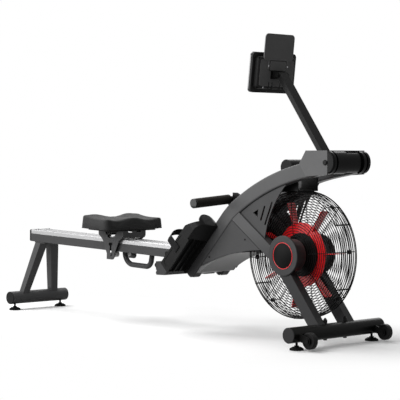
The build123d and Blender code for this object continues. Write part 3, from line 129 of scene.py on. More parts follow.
class Finish:
    # One material: the constants of its shader, and a method that adds any node
    def __init__(self, name, constants):
        self.material = bpy.data.materials.new(name)
        self.material.use_nodes = True
        self.tree = self.material.node_tree
        self.shader = self.tree.nodes["Principled BSDF"]
        for socket, value in constants.items():
            self.shader.inputs[socket].default_value = value
        self.place = self.node("ShaderNodeTexCoord", out="Object")

    def node(self, kind, settings=None, sockets=None, out=0):
        node = self.tree.nodes.new(kind)
        for key, value in (settings or {}).items():
            setattr(node, key, value)
        for key, value in (sockets or {}).items():
            feed(self.tree, value, node.inputs[key])
        return Wire(self.tree, node.outputs[out])

    def stretched(self, x, y, z):
        return self.node("ShaderNodeVectorMath", {"operation": "MULTIPLY"}, {0: self.place, 1: (x, y, z)})

    def axis(self, index, place=None):
        return self.node("ShaderNodeSeparateXYZ", None, {0: place or self.place}, index)

    def noise(self, scale, detail=2.0, rough=0.5, place=None):
        return self.node(
            "ShaderNodeTexNoise", None,
            {"Vector": place or self.place, "Scale": scale, "Detail": detail, "Roughness": rough},
        )

    def cells(self, scale, feature="F1", place=None):
        return self.node(
            "ShaderNodeTexVoronoi", {"feature": feature}, {"Vector": place or self.place, "Scale": scale}
        )

    def ramp(self, value, low, high):
        # 0 at low and 1 at high, smooth between
        return self.node(
            "ShaderNodeMapRange", {"interpolation_type": "SMOOTHSTEP"},
            {"Value": value, "From Min": low, "From Max": high},
        )

    def mix(self, share, first, second):
        # Sockets 6 and 7 and output 2 are the Mix node's colours
        first = first if isinstance(first, Wire) else (*first, 1)
        second = second if isinstance(second, Wire) else (*second, 1)
        return self.node("ShaderNodeMix", {"data_type": "RGBA"}, {0: share, 6: first, 7: second}, 2)

    def put(self, socket, value):
        feed(self.tree, value, self.shader.inputs[socket])

    def bump(self, height, distance, strength=1.0):
        self.put("Normal", self.node(
            "ShaderNodeBump", None, {"Strength": strength, "Distance": distance, "Height": height}
        ))


def tone(colour, factor):
    return tuple(min(1.0, part * factor) for part in colour)


# Finishes

def satinPaint(name, look):
    # Sprayed metal: soft orange peel, fine flakes and faint handling marks
    paint = Finish(name, {"Specular IOR Level": look["gloss"], "IOR": 1.5})
    cloud = paint.noise(7, 3)
    flake = paint.noise(2600, 1)
    rub = paint.ramp(paint.noise(38, 5, 0.65), 0.5, 0.78)
    share = (cloud * 0.55 + flake * look["flake"] + rub * 0.16).clamped()
    body = paint.mix(share, tone(look["colour"], 0.84), tone(look["colour"], 1.26))
    if "low" in look:
        # Painted shade: the colour darkens towards the floor, where less light falls
        paintedShade = paint.mix(share, tone(look["low"], 0.84), tone(look["low"], 1.26))
        body = paint.mix(paint.ramp(paint.axis(2), *look["lowRange"]), paintedShade, body)
    paint.put("Base Color", body)
    paint.put("Roughness", look["rough"] + (cloud - 0.5) * 0.10 + rub * 0.07)
    paint.bump(paint.noise(look["peel"], 2) + flake * 0.15, look["depth"] * mm)
    return paint.material


def mouldedPlastic(name, look):
    # Spark-eroded mould grain: rounded cells with finer noise between them
    plastic = Finish(name, {"Specular IOR Level": look["gloss"], "IOR": 1.48})
    cloud = plastic.noise(9, 4)
    grain = plastic.cells(look["grain"], "SMOOTH_F1")
    fine = plastic.noise(look["grain"] * 2.2, 2)
    scuff = plastic.ramp(plastic.noise(55, 6, 0.7), 0.56, 0.8)
    share = (cloud * 0.5 + fine * 0.2 + scuff * 0.35).clamped()
    plastic.put("Base Color", plastic.mix(share, tone(look["colour"], 0.82), tone(look["colour"], 1.35)))
    plastic.put("Roughness", look["rough"] + (fine - 0.5) * 0.12 + scuff * 0.08)
    plastic.bump(grain * 0.7 + fine * 0.5, look["depth"] * mm)
    return plastic.material


def coatedWire(name, look):
    # Dipped wire: a soft coat with blotches
    wire = Finish(name, {"Specular IOR Level": look["gloss"]})
    blotch = wire.noise(60, 3)
    wire.put("Base Color", wire.mix(blotch, tone(look["colour"], 0.8), tone(look["colour"], 1.5)))
    wire.put("Roughness", look["rough"] + (blotch - 0.5) * 0.2)
    wire.bump(wire.noise(900, 2), look["depth"] * mm)
    return wire.material


def fanPaint(name, look):
    # Glossy red sheet metal with faint clouds and flakes
    paint = Finish(name, {"Specular IOR Level": 0.4, "Coat Roughness": 0.08})
    cloud = paint.noise(11, 3)
    flake = paint.noise(1900, 1)
    share = cloud * 0.8 + flake * 0.2
    paint.put("Base Color", paint.mix(share, tone(look["colour"], 0.86), tone(look["colour"], 1.1)))
    paint.put("Roughness", look["rough"] + (cloud - 0.5) * 0.12)
    paint.put("Coat Weight", (0.35 + cloud * 0.3).clamped())
    paint.bump(paint.noise(420, 2), 0.02 * mm)
    return paint.material


def platedSteel(name, look):
    # Zinc-plated and turned parts: fine rings from the lathe and duller spots
    steel = Finish(name, {"Specular IOR Level": 0.5})
    lathe = steel.noise(30, 4, 0.6, steel.stretched(60, 3, 60))
    spot = steel.ramp(steel.noise(300, 4), 0.45, 0.7)
    share = (lathe * 0.7 + spot * 0.3).clamped()
    steel.put("Base Color", steel.mix(share, tone(look["colour"], 0.7), tone(look["colour"], 1.35)))
    steel.put("Metallic", 0.9 - spot * 0.1)
    steel.put("Roughness", look["rough"] + lathe * 0.14)
    steel.bump(lathe + steel.noise(1500, 1) * 0.3, 0.02 * mm)
    return steel.material


def brushedRail(name, look):
    # Drawn aluminium: long fine lines along the rail, with a few rubbed tracks
    metal = Finish(name, {"Specular IOR Level": look["gloss"]})
    lines = metal.noise(90, 5, 0.7, metal.stretched(0.25, 14, 14))
    fine = metal.noise(420, 2, 0.5, metal.stretched(0.12, 6, 6))
    wear = metal.ramp(metal.noise(14, 4, 0.6, metal.stretched(0.5, 4, 4)), 0.52, 0.72)
    share = (lines * 0.55 + fine * 0.3 + wear * 0.15).clamped()
    body = metal.mix(share, tone(look["colour"], look["dark"]), tone(look["colour"], look["light"]))
    relief = lines * 0.6 + fine
    if "grooves" in look:
        # Rolled grooves along the track, each at one distance from its middle: cut into the bump, and painted darker
        # in the colour as shade in the grooves
        wide = abs(metal.axis(1))
        edges = [edge * mm for edge in look["grooveEdges"]]
        grooveAndShade = sum(1 - metal.ramp(abs(wide - at * mm), *edges) for at in look["grooves"]).clamped()
        # Painted shade: the grooves darken the colour
        body = metal.mix(grooveAndShade * 0.65, body, tone(look["colour"], 0.3))
        relief = relief - grooveAndShade * 4
    metal.put("Base Color", body)
    metal.put("Metallic", look["metal"] - wear * 0.05)
    metal.put("Roughness", look["rough"] + (lines - 0.5) * 0.2 + wear * 0.08)
    metal.bump(relief, look["depth"] * mm)
    return metal.material


def grainedVinyl(name, look):
    # Soft skin over foam: pebble cells with creases and pores, the creases also painted darker as shade
    skin = Finish(name, {"Specular IOR Level": look["gloss"], "Sheen Weight": 0.03, "Sheen Roughness": 0.5})
    pebble = skin.cells(look["pebble"], "DISTANCE_TO_EDGE")
    creaseAndShade = skin.ramp(pebble, 0.0, 0.16)
    pore = skin.noise(1700, 2)
    cloud = skin.noise(13, 4)
    # Painted shade: the creases between pebbles darken the colour
    share = (cloud * 0.5 + creaseAndShade * 0.25 + pore * 0.2).clamped()
    skin.put("Base Color", skin.mix(share, tone(look["colour"], 0.75), tone(look["colour"], 1.4)))
    skin.put("Roughness", look["rough"] + (cloud - 0.5) * 0.14 - creaseAndShade * 0.05)
    skin.bump(creaseAndShade * 0.8 + pore * 0.3, look["depth"] * mm)
    return skin.material


def foamRubber(name, look):
    # Closed-cell rubber: dull, with small pores and dust
    rubber = Finish(name, {"Specular IOR Level": look["gloss"]})
    pores = rubber.cells(look["pores"])
    cloud = rubber.noise(24, 4)
    dust = rubber.ramp(rubber.noise(90, 5, 0.7), 0.5, 0.8)
    share = (cloud * 0.45 + pores * 0.3 + dust * 0.4).clamped()
    rubber.put("Base Color", rubber.mix(share, tone(look["colour"], 0.7), tone(look["colour"], 1.7)))
    rubber.put("Roughness", look["rough"] + (cloud - 0.5) * 0.12)
    rubber.bump(pores + cloud * 0.4, look["depth"] * mm)
    return rubber.material


def handlePaint(name, look):
    # Black tube whose end caps are a light grey moulding
    paint = Finish(name, {"Specular IOR Level": look["gloss"]})
    cap = paint.ramp(abs(paint.axis(1)), look["capFrom"] * mm, (look["capFrom"] + look["capEdge"]) * mm)
    cloud = paint.noise(30, 4)
    peel = paint.noise(700, 2)
    black = paint.mix(cloud, tone(look["colour"], 0.8), tone(look["colour"], 1.4))
    grey = paint.mix(cloud, tone(look["cap"], 0.9), tone(look["cap"], 1.12))
    paint.put("Base Color", paint.mix(cap, black, grey))
    paint.put("Roughness", 0.42 + (cloud - 0.5) * 0.12)
    paint.bump(peel, 0.03 * mm)
    return paint.material


def milkyRoller(name, look):
    # White nylon with patches of grime
    roller = Finish(name, {"Specular IOR Level": 0.45})
    cloud = roller.noise(70, 3)
    grime = roller.ramp(roller.noise(160, 5, 0.7), 0.5, 0.75)
    clean = roller.mix(cloud, tone(look["colour"], 0.93), tone(look["colour"], 1.05))
    roller.put("Base Color", roller.mix(grime * 0.35, clean, tone(look["colour"], 0.55)))
    roller.put("Roughness", look["rough"] + grime * 0.2)
    roller.bump(cloud, 0.03 * mm)
    return roller.material


def wovenStrap(name, look):
    # Webbing: threads over and under each other, on the piece's own map in metres
    strap = Finish(name, {"Specular IOR Level": 0.06, "Sheen Weight": 0.05, "Sheen Roughness": 0.4})
    cloth = strap.node("ShaderNodeTexCoord", out="UV")
    along, across = strap.axis(0, cloth), strap.axis(1, cloth)
    turn = 2 * math.pi / (look["thread"] * mm)
    weft = (along * turn).sine()
    warp = (across * turn).sine()
    weave = weft * warp * 0.5 + 0.5
    fuzz = strap.noise(2400, 2)
    share = (weave * 0.6 + fuzz * 0.4).clamped()
    strap.put("Base Color", strap.mix(share, tone(look["colour"], 0.5), tone(look["colour"], 1.7)))
    strap.put("Roughness", look["rough"] + (fuzz - 0.5) * 0.1)
    strap.bump(weave + fuzz * 0.3, 0.25 * mm)
    return strap.material


def glossFront(name, look):
    # Monitor front: glossy black acrylic with fine swirls from wiping
    front = Finish(name, {"Specular IOR Level": 0.5, "Coat Roughness": 0.05})
    swirl = front.noise(45, 6, 0.7)
    front.put("Base Color", front.mix(swirl, tone(look["colour"], 0.8), tone(look["colour"], 1.4)))
    front.put("Roughness", look["rough"] + front.ramp(swirl, 0.45, 0.75) * 0.12)
    front.put("Coat Weight", (0.5 + swirl * 0.3).clamped())
    front.bump(front.noise(220, 2), 0.01 * mm)
    return front.material


# Its low colour is painted shade towards the floor, blended in over a range of heights
framePaint = {
    "colour": (0.088, 0.088, 0.089), "low": (0.036, 0.036, 0.037), "lowRange": (0.26, 0.52),
    "gloss": 0.11, "rough": 0.36, "flake": 0.35, "peel": 420, "depth": 0.05,
}
standPaint = {
    "colour": (0.056, 0.056, 0.057), "gloss": 0.15, "rough": 0.36, "flake": 0.35, "peel": 420, "depth": 0.05,
}
mastPaint = {
    "colour": (0.015, 0.015, 0.015), "gloss": 0.05, "rough": 0.32, "flake": 0.3, "peel": 620, "depth": 0.05,
}
blackPaint = {
    "colour": (0.009, 0.009, 0.009), "gloss": 0.06, "rough": 0.34, "flake": 0.25, "peel": 620, "depth": 0.05,
}
charcoalPaint = {
    "colour": (0.044, 0.044, 0.045), "gloss": 0.12, "rough": 0.36, "flake": 0.3, "peel": 620, "depth": 0.05,
}
boltBlack = {
    "colour": (0.007, 0.007, 0.007), "gloss": 0.08, "rough": 0.34, "flake": 0.2, "peel": 900, "depth": 0.03,
}
cageWire = {"colour": (0.004, 0.004, 0.004), "gloss": 0.08, "rough": 0.42, "depth": 0.03}
shellGrey = {"colour": (0.060, 0.060, 0.061), "gloss": 0.12, "rough": 0.46, "grain": 1500, "depth": 0.05}
headGrey = {"colour": (0.110, 0.110, 0.111), "gloss": 0.14, "rough": 0.44, "grain": 1500, "depth": 0.05}
# Lower cover: lighter than the shell's grey, painted in for the white floor's reflection and bounce on it
bellyPaintedReflection = {"colour": (0.195, 0.195, 0.195), "gloss": 0.16, "rough": 0.42, "grain": 1500, "depth": 0.05}
blackPlastic = {"colour": (0.0120, 0.0120, 0.0120), "gloss": 0.07, "rough": 0.36, "grain": 1300, "depth": 0.05}
badgeBlack = {"colour": (0.0040, 0.0040, 0.0040), "gloss": 0.06, "rough": 0.50, "grain": 1500, "depth": 0.02}
noseBlack = {"colour": (0.003, 0.003, 0.003), "gloss": 0.06, "rough": 0.24, "grain": 1800, "depth": 0.01}
plateGrey = {"colour": (0.185, 0.185, 0.185), "gloss": 0.12, "rough": 0.55, "grain": 1100, "depth": 0.06}
capGrey = {"colour": (0.028, 0.028, 0.029), "gloss": 0.10, "rough": 0.45, "grain": 1300, "depth": 0.04}
consoleBlack = {"colour": (0.018, 0.018, 0.018), "gloss": 0.10, "rough": 0.48, "grain": 1300, "depth": 0.05}
greyPlastic = {"colour": (0.042, 0.042, 0.043), "gloss": 0.12, "rough": 0.50, "grain": 1300, "depth": 0.05}
frontGloss = {"colour": (0.006, 0.006, 0.007), "rough": 0.12}
fanRed = {"colour": (0.93, 0.010, 0.016), "rough": 0.34}
zincSteel = {"colour": (0.30, 0.30, 0.31), "rough": 0.30}
railSilver = {
    "colour": (0.43, 0.43, 0.435), "gloss": 0.4, "rough": 0.38, "metal": 0.8,
    "dark": 0.78, "light": 1.18, "depth": 0.02,
    "grooves": (6.0, 24.0), "grooveEdges": (0.5, 1.4),
}
railDark = {
    "colour": (0.050, 0.050, 0.051), "gloss": 0.12, "rough": 0.40, "metal": 0.1,
    "dark": 0.8, "light": 1.25, "depth": 0.02,
}
seatVinyl = {"colour": (0.029, 0.029, 0.029), "gloss": 0.08, "rough": 0.60, "pebble": 620, "depth": 0.10}
gripFoam = {"colour": (0.025, 0.023, 0.021), "gloss": 0.06, "rough": 0.70, "pores": 900, "depth": 0.10}
handleBlack = {
    "colour": (0.012, 0.012, 0.012), "gloss": 0.14, "cap": (0.070, 0.070, 0.070), "capFrom": 261.0, "capEdge": 0.4,
}
rollerWhite = {"colour": (0.78, 0.78, 0.77), "rough": 0.32}
footRubber = {"colour": (0.008, 0.008, 0.008), "gloss": 0.06, "rough": 0.7, "pores": 700, "depth": 0.08}
strapWeb = {"colour": (0.012, 0.012, 0.0125), "rough": 0.75, "thread": 1.6}

finishes = {
    "frame_paint": satinPaint("framePaint", framePaint),
    "black_paint": satinPaint("blackPaint", blackPaint),
    "cage_black": coatedWire("cageWire", cageWire),
    "shell_grey": mouldedPlastic("shellGrey", shellGrey),
    "black_plastic": mouldedPlastic("blackPlastic", blackPlastic),
    "grey_plastic": mouldedPlastic("greyPlastic", greyPlastic),
    "gloss_black": glossFront("frontGloss", frontGloss),
    "fan_red": fanPaint("fanRed", fanRed),
    "steel": platedSteel("zincSteel", zincSteel),
    "rail_silver": brushedRail("railSilver", railSilver),
    "rail_dark": brushedRail("railDark", railDark),
    "seat_vinyl": grainedVinyl("seatVinyl", seatVinyl),
    "grip_foam": foamRubber("gripFoam", gripFoam),
    "handle_paint": handlePaint("handleBlack", handleBlack),
    "roller_white": milkyRoller("rollerWhite", rollerWhite),
    "foot_rubber": foamRubber("footRubber", footRubber),
    "strap_web": wovenStrap("strapWeb", strapWeb),
}
for entry in frame["record"]["subparts"]:
    nodes[entry["node"]].material_slots[0].material = finishes[entry["material_slot"]]
# Pieces of one slot that the machine has in another shade, and the lower cover in a lighter grey that is painted
# reflection of the floor
charcoal = satinPaint("charcoalPaint", charcoalPaint)
dark = satinPaint("boltBlack", boltBlack)
stand = satinPaint("standPaint", standPaint)
plate = mouldedPlastic("plateGrey", plateGrey)
ownFinishes = {
    "mast": satinPaint("mastPaint", mastPaint), "lift_loop": charcoal, "hub_covers": charcoal,
    "seat_carriage": stand, "rear_stand": stand, "frame_fasteners": dark, "fan_axle": dark,
    "cross_tube": finishes["black_paint"], "front_end_caps": mouldedPlastic("capGrey", capGrey),
    "head_shell": mouldedPlastic("headGrey", headGrey),
    # Lighter grey here is painted reflection of the floor
    "lower_cover": mouldedPlastic("bellyPaintedReflection", bellyPaintedReflection),
    "head_nose": mouldedPlastic("noseBlack", noseBlack),
    "device_plate": plate,
    "console_back": mouldedPlastic("consoleBlack", consoleBlack),
}
for node, finish in ownFinishes.items():
    nodes[node].material_slots[0].material = finish
print("finishes:", len(finishes) + len(ownFinishes))


# Surfaces

def gridFaces(count, rows, columns, closedRows, closedColumns):
    # Quads of several equal grids: each point joins the next one along and across, round again where closed
    row = np.arange(rows if closedRows else rows - 1)
    column = np.arange(columns if closedColumns else columns - 1)
    i, j = np.meshgrid(row, column, indexing="ij")
    nextI = (i + 1) % rows
    nextJ = (j + 1) % columns
    quad = np.stack([i * columns + j, nextI * columns + j, nextI * columns + nextJ, i * columns + nextJ], -1)
    quad = quad.reshape(1, -1, 4) + np.arange(count).reshape(-1, 1, 1) * rows * columns
    return quad.reshape(-1, 4)


meshLook = {"merge": 1e-6, "sliver": 1e-7}


def surface(name, grids, closed, finish, body, uv=None):
    # One piece from grids (rows, columns, 3) or stacks of equal ones, with poles and seams merged
    points = []
    faces = []
    start = 0
    for grid, (closedRows, closedColumns) in zip(grids, closed):
        grid = np.asarray(grid, float)
        grid = grid.reshape(-1, *grid.shape[-3:])
        points.append(grid.reshape(-1, 3))
        faces.append(gridFaces(grid.shape[0], grid.shape[1], grid.shape[2], closedRows, closedColumns) + start)
        start += len(points[-1])
    points = np.concatenate(points)
    faces = np.concatenate(faces)
    mesh = bpy.data.meshes.new(name)
    mesh.vertices.add(len(points))
    mesh.vertices.foreach_set("co", points.astype(np.float32).ravel())
    mesh.loops.add(faces.size)
    mesh.loops.foreach_set("vertex_index", faces.astype(np.int32).ravel())
    mesh.polygons.add(len(faces))
    mesh.polygons.foreach_set("loop_start", np.arange(0, faces.size, 4, dtype=np.int32))
    mesh.update(calc_edges=True)
    if uv is not None:
        layer = mesh.uv_layers.new(name="cloth")
        layer.data.foreach_set("uv", np.asarray(uv, np.float32).reshape(-1, 2)[faces.ravel()].ravel())
    work = bmesh.new()
    work.from_mesh(mesh)
    bmesh.ops.remove_doubles(work, verts=work.verts, dist=meshLook["merge"])
    bmesh.ops.dissolve_degenerate(work, edges=work.edges, dist=meshLook["sliver"])
    bmesh.ops.recalc_face_normals(work, faces=work.faces)
    work.to_mesh(mesh)
    work.free()
    mesh.polygons.foreach_set("use_smooth", np.ones(len(mesh.polygons), bool))
    mesh.materials.append(finish)
    piece = bpy.data.objects.new(name, mesh)
    bpy.context.scene.collection.objects.link(piece)
    if body:
        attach(piece, body)
    return piece


def turnAngles(count):
    return np.arange(count) * 2 * np.pi / count


def tubes(paths, radius, sides, acrossAxis):
    # Round section carried along paths (count, steps, 3); acrossAxis is one fixed direction square to them
    paths = np.asarray(paths, float)
    along = np.gradient(paths, axis=1)
    along /= np.linalg.norm(along, axis=-1, keepdims=True)
    side = np.broadcast_to(np.asarray(acrossAxis, float), paths.shape)
    up = np.cross(along, side)
    angle = turnAngles(sides).reshape(1, 1, -1, 1)
    ring = side[:, :, None, :] * np.cos(angle) + up[:, :, None, :] * np.sin(angle)
    body = paths[:, :, None, :] + radius * ring
    first = np.broadcast_to(paths[:, :1, None, :], (len(paths), 1, sides, 3))
    last = np.broadcast_to(paths[:, -1:, None, :], (len(paths), 1, sides, 3))
    return np.concatenate([first, body, last], axis=1)


# Wire cage of the fan

cageLook = {
    "pitch": 10.9, "wire": 1.6, "rimWire": 1.8, "edgeWire": 2.6, "eye": 80.0, "corner": 11.0,
    "steps": 128, "sides": 6,
    "spokes": 8, "spokeTurn": 5.0, "spokeWire": 1.8, "spokeSteps": 30, "spokeSunk": 0.85,
    "clip": (9.0, 8.5, 5.0), "clipRound": 0.4,
}


def cageSection(outer, face, run):
    # Section of one half: out over the flat face, round the corner, in along the wall; radius and depth at a run
    corner = cageLook["corner"] * mm
    eye = cageLook["eye"] * mm
    flat = outer - corner - eye
    turn = np.clip((run - flat) / corner, 0, np.pi / 2)
    radius = eye + np.minimum(run, flat) + corner * np.sin(turn)
    depth = face - corner * (1 - np.cos(turn)) - np.maximum(run - flat - corner * np.pi / 2, 0)
    return radius, depth


def cageSize():
    # Middle of the cage, its outer radius and half its depth, and the whole run of a half's section
    low, high = nodeBox("cage_right")
    centre = (low + high) / 2
    wire = cageLook["wire"] * mm
    outer = (high[0] - low[0]) / 2 - wire
    face = max(abs(low[1]), abs(high[1])) - wire
    corner = cageLook["corner"] * mm
    run = outer - corner - cageLook["eye"] * mm + corner * np.pi / 2 + face - corner - cageLook["rimWire"] * mm
    return centre, outer, face, run


def cageHalf(node, outward):
    # Rings: a small circle turned about the axle at each step of the section. Spokes: rods carried along it, inside.
    centre, outer, face, run = cageSize()
    thickness = ("wire", "rimWire", "edgeWire", "spokeWire")
    wire, rimWire, edgeWire, spokeWire = (cageLook[part] * mm for part in thickness)
    turn = turnAngles(cageLook["steps"]).reshape(1, -1, 1)
    section = turnAngles(cageLook["sides"]).reshape(1, 1, -1)

    def rings(radius, depth, thick):
        radius = np.asarray(radius, float).reshape(-1, 1, 1)
        reach = radius + thick * np.cos(section)
        across = outward * np.asarray(depth, float).reshape(-1, 1, 1) + thick * np.sin(section)
        return np.stack(np.broadcast_arrays(
            centre[0] + reach * np.cos(turn), across, centre[2] + reach * np.sin(turn)
        ), -1)

    count = round(run / (cageLook["pitch"] * mm))
    radius, depth = cageSection(outer, face, np.linspace(0, run, count + 1)[:-1])
    rim = rings([outer - rimWire + wire], [rimWire], rimWire)
    bend = cageLook["corner"] * mm * (1 - math.sqrt(0.5))
    edge = rings([outer - bend], [face - bend], edgeWire)
    angle = turnAngles(cageLook["spokes"]) + math.radians(cageLook["spokeTurn"])
    way = np.stack([np.cos(angle), 0 * angle, np.sin(angle)], -1)[:, None, :]
    inside = (wire + spokeWire) * cageLook["spokeSunk"]
    steps = np.linspace(0, run - inside, cageLook["spokeSteps"])
    reach, across = cageSection(outer - inside, face - inside, steps)
    paths = way * reach[None, :, None] + np.array([0, outward, 0]) * across[None, :, None]
    square = np.stack([-np.sin(angle), 0 * angle, np.cos(angle)], -1)[:, None, :]
    spokes = tubes(paths + np.array([centre[0], 0, centre[2]]), spokeWire, cageLook["sides"], square)
    closed = [(True, True), (True, True), (True, True), (False, True)]
    wires = [rings(radius, depth, wire), rim, edge, spokes]
    piece = surface(node + "_wire", wires, closed, finishes["cage_black"], "frame")
    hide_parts(node)


def roundBlock(centre, axes, half, power, rows=9, columns=16):
    # Block with round edges: a sphere whose sines and cosines are raised to a low power, stretched along three axes
    def eased(value):
        return np.sign(value) * np.abs(value) ** power

    up = np.linspace(-np.pi / 2, np.pi / 2, rows)[:, None]
    turn = turnAngles(columns)[None, :]
    parts = np.broadcast_arrays(
        eased(np.cos(up)) * eased(np.cos(turn)), eased(np.cos(up)) * eased(np.sin(turn)), eased(np.sin(up))
    )
    shape = sum(part[..., None] * np.asarray(axis, float) * size for part, axis, size in zip(parts, axes, half))
    return np.asarray(centre, float) + shape


def cageClips():
    # One clip on each pair of spokes, where the two halves meet
    centre, outer = cageSize()[:2]
    half = np.array(cageLook["clip"]) * mm
    blocks = []
    for angle in turnAngles(cageLook["spokes"]) + math.radians(cageLook["spokeTurn"]):
        way = np.array([math.cos(angle), 0, math.sin(angle)])
        square = np.array([-math.sin(angle), 0, math.cos(angle)])
        at = np.array([centre[0], 0, centre[2]]) + way * (outer - cageLook["rimWire"] * mm)
        blocks.append(roundBlock(at, (square, (0, 1, 0), way), half, cageLook["clipRound"]))
    piece = surface("cage_clips", [np.stack(blocks)], [(False, True)], finishes["cage_black"], "frame")


cageHalf("cage_right", -1)
cageHalf("cage_left", 1)
cageClips()
print("cage wires")


# Discs and rings on the hub covers

badgeLook = {
    "disc": 57.0, "ringIn": 53.5, "ringOut": 56.0, "recess": 1.5, "proud": 0.5, "lift": 0.35, "bevel": 0.2,
    "steps": 96,
}


def turned(centre, profile, steps):
    # Profile of (radius, y) pairs turned about the fan's axle
    profile = np.asarray(profile, float)
    angle = turnAngles(steps)[:, None]
    return np.stack([
        centre[0] + profile[:, 0] * np.cos(angle),
        np.broadcast_to(profile[:, 1], (steps, len(profile))),
        centre[2] + profile[:, 0] * np.sin(angle),
    ], -1)


def hubDiscs():
    # Each disc and ring is a low profile turned about the hub, set on the cover's recessed middle
    low, high = nodeBox("hub_covers")
    centre = (low + high) / 2
    radius, inner, outer, bevel = (badgeLook[name] * mm for name in ("disc", "ringIn", "ringOut", "bevel"))
    discs = []
    ringSet = []
    for side, face in ((-1, low[1]), (1, high[1])):
        floorY = face - side * badgeLook["recess"] * mm
        top = floorY + side * badgeLook["proud"] * mm
        lift = top + side * badgeLook["lift"] * mm
        profile = [(0, floorY), (radius, floorY), (radius, top - side * bevel), (radius - bevel, top), (0, top)]
        discs.append(turned(centre, profile, badgeLook["steps"]))
        profile = [(inner, top), (outer, top), (outer - bevel, lift), (inner + bevel, lift)]
        ringSet.append(turned(centre, profile, badgeLook["steps"]))
    disc = surface("hub_disc", discs, [(True, False)] * 2, mouldedPlastic("badgeBlack", badgeBlack), "frame")
    ring = surface("hub_ring", ringSet, [(True, True)] * 2, finishes["fan_red"], "frame")


hubDiscs()
print("hub discs")


# Seat cushion

seatLook = {
    "flare": 5.0, "edge": 9.0, "sag": 6.0, "corner": 26.0, "pullIn": 2.5, "sideSteps": 34, "cornerSteps": 10,
    "rearLobe": 61.0, "rearValley": 47.0, "rearCorner": 57.0,
    "frontHump": 51.0, "frontDip": 38.0, "frontCorner": 45.0,
    "lobeAt": 0.58, "cornerAt": 0.92, "voxel": 4.0, "pressure": 4.0, "swell": 2.5, "frames": 20, "quality": 5,
    "fuller": 12.0, "lip": 10.0, "lipThick": 6.5, "lipRound": 1.5, "under": 1.0,
    "relax": 0.5, "relaxTimes": 2, "fine": 1,
    "underRows": 8, "wallRows": 9, "wallFrom": 0.05, "edgeRows": 6, "edgeFrom": 0.2, "topRows": 16, "topFrom": 0.95,
    "bead": 1.4, "beadUp": -5.0, "beadIn": 0.6, "beadSides": 8, "beadEven": 4,
}


def seatFrame():
    # Axes of the sliding seat: along the rail, across it and off it, from the cushion's underside
    along = np.array(joints["seat_slide"]["axis"], float)
    along /= np.linalg.norm(along)
    across = np.array([0.0, 1.0, 0.0])
    off = np.cross(along, across)
    points = nodePoints("seat_cushion") @ np.stack([along, across, off], 1)
    low, high = points.min(0), points.max(0)
    middle = (low + high) / 2
    origin = middle[0] * along + middle[1] * across + low[2] * off
    return origin, along, across, off, (high - low) / 2


def smoothStep(value):
    value = np.clip(value, 0, 1)
    return value * value * (3 - 2 * value)


def saddleHeight(x, y):
    # Height over the underside: back edge with two lobes, front edge with a hump, a straight mix and a dish between
    wide = np.abs(y)
    wave = np.cos(np.pi * np.clip(wide / seatLook["lobeAt"], 0, 1))
    outer = smoothStep((wide - seatLook["lobeAt"]) / (seatLook["cornerAt"] - seatLook["lobeAt"]))
    lobe, valley, corner = seatLook["rearLobe"], seatLook["rearValley"], seatLook["rearCorner"]
    rear = (lobe + valley) / 2 - (lobe - valley) / 2 * wave + (corner - lobe) * outer
    hump, dip, corner = seatLook["frontHump"], seatLook["frontDip"], seatLook["frontCorner"]
    front = (hump + dip) / 2 + (hump - dip) / 2 * wave + (corner - dip) * outer
    share = (x + 1) / 2
    return (rear + (front - rear) * share - seatLook["sag"] * (1 - x ** 2)) * mm


def seatOutline(halfX, halfY):
    # Rectangle with round corners, and at each point the way out and how far the side has pulled in
    radius = seatLook["corner"] * mm
    flatX, flatY = halfX - radius, halfY - radius
    bend = np.linspace(0, np.pi / 2, seatLook["cornerSteps"])
    slide = np.linspace(-1, 1, seatLook["sideSteps"] + 2)[1:-1]
    still = np.ones_like(slide)
    x, y, outX, outY, pull = [], [], [], [], []
    for quarter, (signX, signY) in enumerate(((1, 1), (-1, 1), (-1, -1), (1, -1))):
        turn = bend + quarter * np.pi / 2
        x.append(signX * flatX + radius * np.cos(turn))
        y.append(signY * flatY + radius * np.sin(turn))
        outX.append(np.cos(turn))
        outY.append(np.sin(turn))
        pull.append(0 * turn)
        wayX, wayY = round(math.cos((quarter + 1) * math.pi / 2)), round(math.sin((quarter + 1) * math.pi / 2))
        x.append(wayX * halfX * still - wayY * flatX * slide)
        y.append(wayY * halfY * still + wayX * flatY * slide)
        outX.append(wayX * still)
        outY.append(wayY * still)
        pull.append(1 - slide ** 2)
    return [np.concatenate(part) for part in (x, y, outX, outY, pull)]


def seatRing(inset, height, shrink=1.0):
    # One ring of the cushion, set in from its outline; height is worked out from the saddle's height above it
    origin, along, across, off, half = seatFrame()
    swell = seatLook["swell"] * mm
    halfX, halfY = half[0] - swell, half[1] - swell + seatLook["fuller"] * mm
    x, y, outX, outY, pull = seatOutline(halfX, halfY)
    inset = inset + pull * seatLook["pullIn"] * mm
    x = (x - outX * inset) * shrink
    y = (y - outY * inset) * shrink
    z = height(saddleHeight(x / halfX, y / halfY))
    return origin + x[:, None] * along + y[:, None] * across + z[:, None] * off


